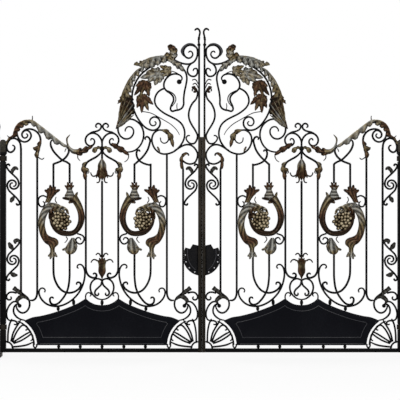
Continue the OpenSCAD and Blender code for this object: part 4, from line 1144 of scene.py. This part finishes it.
# %% Grille bars
LOOP = [(384, 546), (390, 567), (377, 585), (354, 588), (336, 574), (329, 547), (336, 510), (360, 470),
        (400, 434), (450, 413), (510, 407), (570, 420), (630, 450), (685, 495), (730, 550), (763, 615),
        (782, 685), (786, 745), (776, 790), (758, 817), (734, 826), (714, 816), (710, 797), (723, 786)]
FOOT_1 = [(795.5, 790), (800, 755), (820, 717), (850, 697), (880, 691), (900, 704), (899, 728),
          (880, 738), (866, 727)]
FOOT_2 = [(634, 720), (630, 660), (620, 595), (600, 540), (565, 484), (522, 438), (480, 423), (447, 439),
          (437, 473), (446, 494), (464, 497), (473, 483)]
FOOT_3 = [(472.5, 790), (476, 720), (492, 660), (523, 602), (566, 560), (620, 542), (675, 550),
          (720, 577), (745, 612), (741, 638), (718, 648), (704, 638), (705, 623)]
FOOT_4 = [(311, 570), (308, 520), (293, 484), (268, 467), (240, 467)]
RING = [(957, 664), (935, 678), (905, 683), (873, 669), (849, 638), (840, 595), (850, 548), (877, 510),
        (915, 483), (957, 474)]
HEART = [(957, 664), (946, 622), (922, 596), (896, 571), (885, 544), (894, 521), (912, 516), (923, 528),
         (919, 543)]
ARM = [(795.5, 1690), (788, 1750), (788, 1805), (810, 1847), (850, 1874), (900, 1902), (940, 1938),
       (957, 1980)]
CROSS_2 = [(1280, 1826), (1325, 1865), (1370, 1910), (1410, 1970), (1430, 2030), (1436, 2065),
           (1424, 2092), (1403, 2103), (1386, 2090), (1390, 2071)]
CROSS_3 = [(1441.5, 1818), (1400, 1827), (1360, 1842), (1328, 1865), (1306, 1900), (1300, 1940),
           (1310, 1964), (1329, 1968), (1334, 1952)]
CROSS_M2 = [(634, 1830), (600, 1852), (562, 1868), (515, 1910), (472, 1960), (448, 2010), (445, 2045),
            (456, 2070)]
CROSS_M3 = [(472.5, 1830), (520, 1847), (562, 1868), (600, 1902), (623, 1944), (623, 1975), (605, 2000)]
TOP_M4 = [(311, 1900), (326, 1970), (340, 2025), (344, 2075), (333, 2117), (306, 2152), (270, 2173),
          (230, 2180), (190, 2172), (163, 2150)]
TOP_M5 = [(149.5, 1980), (142, 2035), (118, 2070), (80, 2087), (43, 2078), (18, 2045), (6, 2000),
          (18, 1962), (45, 1947), (74, 1962), (88, 1990), (79, 2012), (62, 2018)]
TOP_5 = [(1764.5, 1770), (1754, 1840), (1750, 1885), (1763, 1920), (1790, 1938), (1814, 1930), (1820, 1912)]
STEP = 161.5


def upright(k, low, high):
    return bar([(CENTRE + k * STEP, low), (CENTRE + k * STEP, high)], BAR, start=1, end=1)


uprights = [upright(0, 900, 1660), upright(0, 1880, 1990), upright(-4, 560, 1910), upright(4, 560, 1926),
            upright(-5, 540, 1990), upright(5, 540, 1780)]
for k in (-1, 1):
    uprights += [upright(k, 780, 1700), upright(2 * k, 710, 935), upright(2 * k, 1635, 1834),
                 upright(3 * k, 780, 895), upright(3 * k, 1590, 1834)]
grille = uprights + pair(LOOP, SCROLL, start=0.7, end=0.7) + pair(RING) + pair(HEART)
for foot in (FOOT_1, FOOT_2, FOOT_3, FOOT_4, ARM):
    grille += pair(foot, BAR)
grille += [bar(top, BAR) for top in (CROSS_2, CROSS_3, CROSS_M2, CROSS_M3, TOP_M4, TOP_M5, TOP_5)]
forged("grille", grille + [bar([(4, 1930), (4, 1955), (5, 1975), (8, 2000)], FINE)])

# %% [markdown]
# ## Rosettes, corner scrolls and fans
# Thin double spirals fill the gaps beside the stiles. Below them a ring, two curls and a fan
# of ribs fill the corner beside the kick panel. A spiral could be drawn point by point, but a
# formula for its radius makes all of them alike.

# %% Thin scrolls
def spiral(centre, r0, r1, from_deg, sweep, n):
    t = np.linspace(0, 1, n + 1)
    a, r = np.radians(from_deg + sweep * t), r0 + (r1 - r0) * t
    return [(centre[0] + q * math.cos(w), centre[1] + q * math.sin(w)) for q, w in zip(r, a)]


ROSETTE = [(38, 1810), (26, 1828), (4, 1816), (14, 1785), (40, 1752), (78, 1716), (113, 1680)]
ROSETTE += spiral((70, 1624), r0=60, r1=15, from_deg=20, sweep=-290, n=12)
HALFWAY = 1247  # between the upper and the lower rosette
LOW_ROSETTE = [(x, 2 * HALFWAY - z) for x, z in ROSETTE]
ROSETTES = [(ROSETTE, 70, 1624), (LOW_ROSETTE, 70, 870), (turned_over(ROSETTE), 2 * CENTRE - 70, 1624)]
rosettes = []
for arm, cx, cz in ROSETTES:
    rosettes += [bar(arm, CURL + 4), bar([(2 * cx - x, 2 * cz - z) for x, z in arm], CURL + 4)]
forged("side_rosettes", rosettes)
CORNER_CURL = [(105, 538), (70, 548), (36, 545), (12, 524), (5, 496), (20, 474), (44, 474), (54, 491),
               (44, 504)]
CORNER_RING = [(150, 560), (158, 540), (185, 518), (216, 490), (234, 450), (232, 402), (208, 360),
               (170, 341), (134, 352), (110, 382), (103, 415), (118, 438)]
CORNER_C = [(132, 425), (105, 452), (70, 450), (38, 422), (15, 380), (5, 330), (15, 284), (40, 266),
            (62, 280)]
CORNER_S = [(128, 434), (96, 420), (77, 385), (78, 342), (103, 304), (143, 278), (190, 266)]
FAN = [[(18, 40), (20, 130), (29, 200), (46, 254), (70, 264), (100, 255), (110, 237), (96, 224), (78, 228)],
       [(50, 55), (70, 135), (100, 195), (132, 245), (143, 268)],
       [(62, 48), (93, 125), (126, 180), (160, 215), (190, 214), (212, 194), (207, 172), (192, 170)],
       [(66, 45), (140, 92), (200, 130), (252, 156)],
       [(75, 35), (150, 64), (210, 100), (250, 127), (266, 105), (263, 75), (245, 62)],
       [(55, 0), (140, 8), (210, 22), (278, 52)]]
corner = pair(CORNER_RING)
for curl in (CORNER_CURL, CORNER_C, CORNER_S, *FAN):
    corner += pair(curl, CURL + 3)
corner += pair(spiral((15, 15), r0=265, r1=265, from_deg=1, sweep=66, n=12), CURL + 3)
corner += pair(spiral((-4, -18), r0=72, r1=72, from_deg=4, sweep=82, n=8), CURL + 2, start=1, end=1)
corner += pair([(276, 60), (275, 10), (292, -8), (306, 10), (305, 30)], CURL, start=1, end=1)
forged("corner_fans", corner, [(136, 412, 20), (2 * CENTRE - 136, 412, 20)])

# %% [markdown]
# ## Scrolls over the leaf
# The shoulder scroll slopes down from the hanging side to the lyre over the middle bar. No
# formula gives these curves, so they are traced point by point and smoothed.

# %% Shoulder and lyre
SHOULDER_SPIRAL = [(112, 2180), (109, 2140), (123, 2092), (153, 2060), (193, 2051), (230, 2070),
                   (250, 2107), (242, 2142), (215, 2165), (183, 2161), (161, 2137), (162, 2108),
                   (182, 2090), (207, 2097), (216, 2119), (202, 2134)]
SLOPE = [(80, 2080), (84, 2120), (98, 2160), (130, 2200), (180, 2232), (250, 2245), (310, 2215),
         (400, 2148), (480, 2088), (550, 2040), (600, 2010), (622, 1990), (650, 1965), (710, 1952),
         (780, 1970), (815, 1990)]
forged("shoulder_scrolls", [bar(SHOULDER_SPIRAL), bar(SLOPE, SCROLL, start=1, end=1),
                            bar([(312, 1908), (340, 1884), (362, 1878), (380, 1892)], FINE)])
LYRE_C = [(957, 1990), (956, 2050), (940, 2092), (910, 2124), (873, 2138), (833, 2132), (802, 2104),
          (791, 2067), (804, 2030), (836, 2011), (868, 2021), (883, 2050), (874, 2077), (852, 2083),
          (842, 2065)]
LYRE_S = [(825, 2128), (860, 2148), (900, 2157), (933, 2173), (949, 2200), (942, 2224), (920, 2235),
          (899, 2224), (895, 2204), (910, 2195)]
forged("lyre_scrolls", pair(LYRE_C) + pair(LYRE_S), [(CENTRE, 1985, 26)])

# %% [markdown]
# ## The crown
# Beside the meeting stile the scrolls rise into a crown with an arch and a rolled top. It could be
# one long curve, but it was made of several bars, so each is a bar here and meets its neighbours.

# %% Crown scrolls
CROWN_LEFT = [(1188, 2155), (1190, 2177), (1213, 2201), (1248, 2198), (1270, 2168), (1266, 2126),
              (1236, 2090), (1190, 2081), (1148, 2102), (1122, 2142), (1116, 2190), (1128, 2245),
              (1165, 2275), (1210, 2279), (1265, 2275), (1315, 2247), (1353, 2200), (1371, 2140),
              (1365, 2075), (1335, 2012), (1285, 1967), (1223, 1950), (1165, 1957), (1115, 1982),
              (1075, 2008)]
CROWN_ARCH = [(1675, 2872), (1608, 2868), (1540, 2850), (1474, 2822), (1412, 2782), (1350, 2730),
              (1303, 2667), (1270, 2590), (1256, 2505), (1262, 2415), (1288, 2335), (1327, 2265),
              (1375, 2207), (1430, 2173), (1485, 2170), (1525, 2200), (1536, 2247), (1516, 2287),
              (1478, 2300), (1443, 2282), (1432, 2247), (1450, 2217), (1481, 2216), (1495, 2240),
              (1480, 2257)]
CROWN_TOP = [(1660, 2880), (1725, 2847), (1780, 2831), (1830, 2831), (1874, 2853), (1900, 2895),
             (1908, 2945), (1900, 2990), (1864, 3015), (1820, 3017), (1785, 2994), (1769, 2955),
             (1778, 2915), (1808, 2890), (1840, 2894), (1860, 2920), (1854, 2947), (1833, 2958),
             (1817, 2944)]
CROWN_EYE = [(1845, 2835), (1820, 2807), (1808, 2770), (1816, 2734), (1844, 2710), (1882, 2708),
             (1904, 2732), (1908, 2762), (1898, 2784), (1873, 2780), (1863, 2760)]
CROWN_LYRE = [(1856, 2557), (1858, 2580), (1880, 2590), (1900, 2570), (1908, 2530), (1894, 2480),
              (1856, 2434), (1830, 2380), (1820, 2322), (1829, 2267), (1855, 2215), (1886, 2165),
              (1908, 2115), (1900, 2070), (1876, 2037), (1838, 2035), (1808, 2058), (1795, 2090),
              (1812, 2113), (1833, 2114)]
CROWN_LOW = [(1680, 1962), (1745, 2004), (1795, 2023), (1843, 2017), (1882, 1985), (1908, 1935),
             (1902, 1882), (1878, 1843), (1835, 1830), (1793, 1840), (1762, 1862)]
CROWN_TIES = [[(1855, 2667), (1878, 2677), (1898, 2664), (1914, 2630)],
              [(1860, 2625), (1883, 2637), (1900, 2624), (1914, 2590)]]
crown_bars = [bar(CROWN_LEFT, SCROLL, start=0.7), bar(CROWN_ARCH), bar(CROWN_TOP), bar(CROWN_EYE),
              bar(CROWN_LYRE, SCROLL, start=0.7), bar(CROWN_LOW, SCROLL, start=1, end=1)]
forged("crest_scrolls", crown_bars + [bar(tie, FINE) for tie in CROWN_TIES])

# %% [markdown]
# ## The horse head
# The head is drawn in bent bar, like a line drawing: jaw, brow and a neck that rolls into a ring,
# with thin lines for cheek, mouth, rein and forelock. Daylight shows through it, so a sculpted
# head would be wrong.

# %% Horse head
JAW = [(1728, 2655), (1749, 2670), (1753, 2694), (1730, 2720), (1685, 2731), (1638, 2720), (1598, 2686),
       (1575, 2640), (1576, 2595), (1602, 2560), (1640, 2534), (1666, 2500), (1668, 2460), (1648, 2417),
       (1639, 2380), (1655, 2358), (1685, 2364), (1715, 2372)]
BROW = [(1675, 2842), (1720, 2822), (1763, 2785), (1792, 2740), (1802, 2685), (1793, 2620), (1778, 2550),
        (1770, 2480), (1770, 2427), (1753, 2390), (1720, 2371), (1690, 2366)]
NECK = [(1582, 2587), (1545, 2572), (1510, 2543), (1487, 2500), (1482, 2452), (1499, 2407), (1538, 2366),
        (1590, 2330), (1650, 2300), (1705, 2270), (1750, 2230), (1776, 2175), (1780, 2115), (1763, 2055),
        (1726, 2000), (1673, 1955), (1610, 1932), (1548, 1934), (1494, 1970), (1462, 2025), (1454, 2085),
        (1473, 2137), (1513, 2166), (1555, 2168), (1595, 2152), (1620, 2116), (1620, 2076), (1603, 2048),
        (1573, 2038), (1545, 2057), (1538, 2095)]
CHEEK = [(1584, 2572), (1635, 2552), (1674, 2525), (1692, 2485), (1684, 2447), (1655, 2405)]
REIN = [(1352, 2356), (1440, 2340), (1515, 2302), (1575, 2268), (1635, 2232), (1683, 2190), (1714, 2150),
        (1729, 2120)]
MOUTH = [(1706, 2440), (1702, 2405), (1708, 2372)]
FORELOCK = [(1616, 2764), (1664, 2755), (1712, 2734), (1742, 2706)]
forged("horse_head", [bar(JAW, SCROLL, start=0.7, end=1), bar(BROW, SCROLL, start=1, end=1),
                      bar(NECK, SCROLL, start=1, end=0.6), bar(CHEEK, FINE, start=1, end=0.6),
                      bar(MOUTH, HAIR, start=0.6, end=1), bar(REIN, HAIR), bar(FORELOCK, HAIR)],
       [(1726, 2652, 25)])

# %% [markdown]
# ## Curls beside the wreaths
# A small curl ties each horn to the bar beside it. CAD cuts it from one plate with the horns.
# It is black like the bars, so here the bar tree sweeps it as a piece of its own.

# %% Curls that tie the wreaths to the bars
CURL_A = [(1205, 1135), (1151, 1114), (1135, 1078), (1157, 1038), (1187, 1032), (1214, 1053),
          (1217, 1078), (1199, 1093), (1178, 1090), (1168, 1070)]
CURL_B = [(1508, 1499), (1545, 1513), (1581, 1497), (1593, 1459), (1581, 1417), (1557, 1402),
          (1534, 1414), (1530, 1438), (1546, 1458)]
for side in SIDES:
    mesh = swept(side, f"{side}_wreath_curls", pair(CURL_A, CURL + 2) + pair(CURL_B, CURL + 2))
    add_detail(mesh.name, mesh, BAR_PAINT, f"{side}_leaf")
print("wreath curls", len(mesh.polygons))

# %% [markdown]
# ## Hooks of the kick panel
# Both peaks of the panel end in a little hook that rolls inwards. Cut from the sheet it would be
# flat, so it is swept like a thin bar, drawn once and turned over for the other peak.

# %% Hooks on the peaks of the kick panel
HOOK = [(795, 480), (793, 508), (803, 534), (824, 544), (843, 534), (846, 516), (834, 507)]
for side in SIDES:
    mesh = swept(side, f"{side}_panel_hooks", pair(HOOK, FINE + 3))
    add_detail(mesh.name, mesh, BAR_PAINT, f"{side}_leaf")
print("panel hooks", len(mesh.polygons))

# %% [markdown]
# ## Finials and the leaf on the top scroll
# The rod over the meeting stile swells above a knob and curls over. It bends, so a lathe profile
# won't do, and balls on a swept bar give the knob and the swelling. Beside it a grey leaf lies
# round the outside of the top scroll, a little behind the bar's face.

# %% Finial and scroll leaf
FINIAL = [(1924, 3010), (1920, 3066), (1925, 3106), (1932, 3142), (1926, 3168), (1908, 3182),
          (1889, 3176), (1882, 3167)]
FINIAL_KNOBS = [(1922, 3022, 17), (1921, 3076, 13), (1923, 3092, 13)]
SCROLL_LEAF = [(1892, 3006), (1866, 3026), (1826, 3029), (1788, 3014), (1762, 2988), (1750, 2958),
               (1758, 2930), (1773, 2908)]
LEAF_DEPTH = 0.8
for side in SIDES:
    rod = swept(side, f"{side}_finial_rod", [bar(FINIAL, SCROLL, start=1, end=0.8)], FINIAL_KNOBS)
    add_detail(rod.name, rod, FRAME_PAINT, f"{side}_leaf")
    wrap = swept(side, f"{side}_scroll_leaf", [bar(SCROLL_LEAF, SCROLL + 3, start=0.4, end=0.5)])
    co = coordinates(wrap)
    co[:, 1] *= LEAF_DEPTH
    wrap.vertices.foreach_set("co", co.ravel())
    add_detail(wrap.name, wrap, BEAD_PAINT, f"{side}_leaf")
print("finial", len(rod.polygons), "scroll leaf", len(wrap.polygons))

# %% [markdown]
# ## The stop strip
# Between two closed leaves a strip keeps daylight out of the gap. It rides on the left leaf and
# stops just short of the right one, so either leaf can still open. A stretched cube would do; a
# bar swept between the ends of the cover takes its height from CAD.

# %% Stop strip in the gap between the leaves
LIP_WIDE, LIP_PAST, LIP_SHORT = 6.4, 0.0027, 0.001
lip_x = (MIDDLE + LIP_PAST - LIP_WIDE / 2 / MM - rail_low.x) / ACROSS
cover_low, cover_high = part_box("left_meeting_cover")
lip_ends = (cover_low.z + LIP_SHORT, cover_high.z - LIP_SHORT)
lip = [(lip_x, (z - rail_high.z) * MM - DRAWN_FOOT) for z in lip_ends]
strip = swept("left", "left_stop_strip", [bar(lip, LIP_WIDE, start=1, end=1)])
add_detail("left_stop_strip", strip, STRIP_PAINT, "left_leaf")
print("stop strip", round(cover_high.z - cover_low.z, 3), "m")

# %% [markdown]
# ## Tulips on the middle bar
# The upper flower hangs like a lily: a fluted throat, three petals that part, and tips that
# roll out. The lower one is a closed bud under a torn crown. Wire curls spring from both. Turning
# a profile would give a plain vase, so the relief tools make the flutes and petals.

# %% Lily and bud
tulips = Relief()
THROAT = [(951, 1884), (928, 1852), (915, 1821), (913, 1783), (912, 1751), (908, 1719), (926, 1684)]
horn(tulips, THROAT, turned_over(THROAT), rise=0.040, ribs=2, rings=0,
     tone=[0.95, 0.95, 0.8, 0.45, 0.3, 0.4], twist=0.3, rib=0.005)
BUD = [(940, 868), (920, 846), (921, 826), (922, 804), (919, 763), (926, 734), (942, 708), (955, 676)]
horn(tulips, BUD, turned_over(BUD), rise=0.038, ribs=1, rings=0,
     tone=[0.55, 0.58, 0.5, 0.32, 0.15, 0.02, 0.0], twist=0.2, rib=0.004)
PETALS = [([(938, 1806), (916, 1744), (900, 1690)], [8, 20, 5], [8, 16, 5], 0.25, 0.043),
          ([(946, 1770), (938, 1716), (932, 1664)], [8, 18, 6], [8, 16, 6], 0.45, 0.045),
          ([(938, 828), (924, 856), (904, 868)], [14, 16, 4], [14, 16, 4], 0.5, 0.036),
          ([(946, 826), (938, 866), (930, 892)], [14, 16, 4], [14, 16, 4], 0.3, 0.038)]
for spine, left, right, tone, rise in PETALS:
    leaf(tulips, spine, left, right, teeth=2, cut=0.15, tone=tone, rise=rise, pleat=0.003)
    leaf(tulips, turned_over(spine), right, left, teeth=2, cut=0.15, tone=tone, rise=rise, pleat=0.003)
leaf(tulips, [(CENTRE, 1800), (CENTRE + 1, 1730), (CENTRE, 1664)], [10, 22, 5], [10, 22, 5], teeth=2,
     cut=0.15, tone=0.3, rise=0.047, pleat=0.003)
leaf(tulips, [(CENTRE, 830), (CENTRE + 1, 872), (CENTRE, 908)], [16, 20, 5], [16, 20, 5], teeth=2,
     cut=0.15, tone=0.15, rise=0.040, pleat=0.003)
TULIP_CURLS = [[(912, 1728), (892, 1712), (868, 1708), (851, 1722), (843, 1746)],
               [(930, 1700), (934, 1671), (924, 1648), (902, 1644)],
               [(908, 861), (895, 871), (876, 874), (859, 865), (846, 844)],
               [(946, 898), (932, 929), (913, 936), (895, 920)]]
TULIP_CURLS += [turned_over(t) for t in TULIP_CURLS]
for side in SIDES:
    made = leaves_with_tendrils(side, "tulips", tulips, TULIP_CURLS, radius=0.0086)
print("tulip faces", len(made.data.polygons))

# %% [markdown]
# ## Floor
# The photograph is a cut-out on white. A plain white plane would look grey away from the lamps,
# so to the camera this one glows, a little less near the gate, where a faint shadow may show.

# %% Pale floor
def pale_floor():
    mesh = bpy.data.meshes.new("pale floor")
    mesh.from_pydata([(-9, -9, 0), (13, -9, 0), (13, 9, 0), (-9, 9, 0)], [], [(0, 1, 2, 3)])
    obj = bpy.data.objects.new("pale floor", mesh)
    obj.location.z = -0.0005
    bpy.context.scene.collection.objects.link(obj)
    f = Finish("pale floor")
    f.set(Base_Color=(0.86, 0.86, 0.86), Roughness=0.8)
    ray = f.node("ShaderNodeLightPath", out="Is Camera Ray")
    for other in ("Is Glossy Ray", "Is Transmission Ray"):
        ray = ray.with_math("MAXIMUM", ray, f.node("ShaderNodeLightPath", out=other))
    shine = f.node("ShaderNodeEmission", {}, {"Color": (1, 1, 1), "Strength": 1.0})
    where = f.node("ShaderNodeVectorMath", {"operation": "DISTANCE"}, {0: f.place, 1: (MIDDLE, 0, 0)},
                   out="Value")
    share = ray * (0.86 + 0.14 * where.clamped(2.0, 6.0))
    mixed = f.node("ShaderNodeMixShader", {}, {0: share, 1: Signal(f, f.surface.outputs[0]), 2: shine})
    f.fill(f.tree.nodes["Material Output"].inputs["Surface"], mixed)
    mesh.materials.append(f.material)


pale_floor()
print("floor ready")

# %% [markdown]
# ## Lamps and white surroundings
# The light comes from all round, with a large lamp a little to the left, a weaker one on the right
# and one behind. A picture of a studio could light it too, but plain white is what the photograph
# has. It is full white to the camera and in reflections, and lights the gate at half of that.

# %% Lamps and world
def soft_lamp(name, place, aim, size, watts):
    lamp = bpy.data.lights.new(name, "AREA")
    lamp.shape, lamp.size, lamp.energy = "DISK", size, watts
    obj = bpy.data.objects.new(name, lamp)
    obj.location = place
    obj.rotation_euler = (Vector(aim) - Vector(place)).to_track_quat("-Z", "Y").to_euler()
    bpy.context.scene.collection.objects.link(obj)


HEART_OF_GATE = (2.1, 0, 1.5)
soft_lamp("key lamp", (-1.2, -6.0, 5.6), HEART_OF_GATE, size=3.0, watts=260)
soft_lamp("fill lamp", (6.5, -5.5, 3.2), HEART_OF_GATE, size=3.5, watts=110)
soft_lamp("back lamp", (2.1, 6.0, 5.0), HEART_OF_GATE, size=3.5, watts=200)

world = bpy.data.worlds.new("white studio")
bpy.context.scene.world = world
world.use_nodes = True
nodes, links = world.node_tree.nodes, world.node_tree.links
path = nodes.new("ShaderNodeLightPath")
level = nodes.new("ShaderNodeMapRange")
level.inputs["To Min"].default_value, level.inputs["To Max"].default_value = 0.5, 1.0
seen = path.outputs["Is Camera Ray"]
for ray in ("Is Glossy Ray", "Is Transmission Ray"):
    either = nodes.new("ShaderNodeMath")
    either.operation = "MAXIMUM"
    links.new(seen, either.inputs[0])
    links.new(path.outputs[ray], either.inputs[1])
    seen = either.outputs[0]
links.new(seen, level.inputs["Value"])
links.new(level.outputs["Result"], nodes["Background"].inputs["Strength"])
nodes["Background"].inputs["Color"].default_value = (1, 1, 1, 1)
bpy.context.scene.view_settings.view_transform = "Standard"
print("lamps", len(bpy.data.lights), "world", world.name)

# %% [markdown]
# ## Camera
# The photograph shows the gate square on, with hardly any perspective. A long lens from far off,
# level with the middle of the gate, does the same.

# %% Camera
ASIDE, AWAY, EYE_HIGH = 0.018, 15.0, 1.570
camera = bpy.data.cameras.new("camera")
camera.sensor_width, camera.lens = 36, 135
eye = bpy.data.objects.new("camera", camera)
eye.location = (MIDDLE - ASIDE, -AWAY, EYE_HIGH)
eye.rotation_euler = (math.radians(90), 0, 0)
bpy.context.scene.collection.objects.link(eye)
bpy.context.scene.camera = eye
print("camera", camera.lens, "mm lens,", AWAY, "m away")
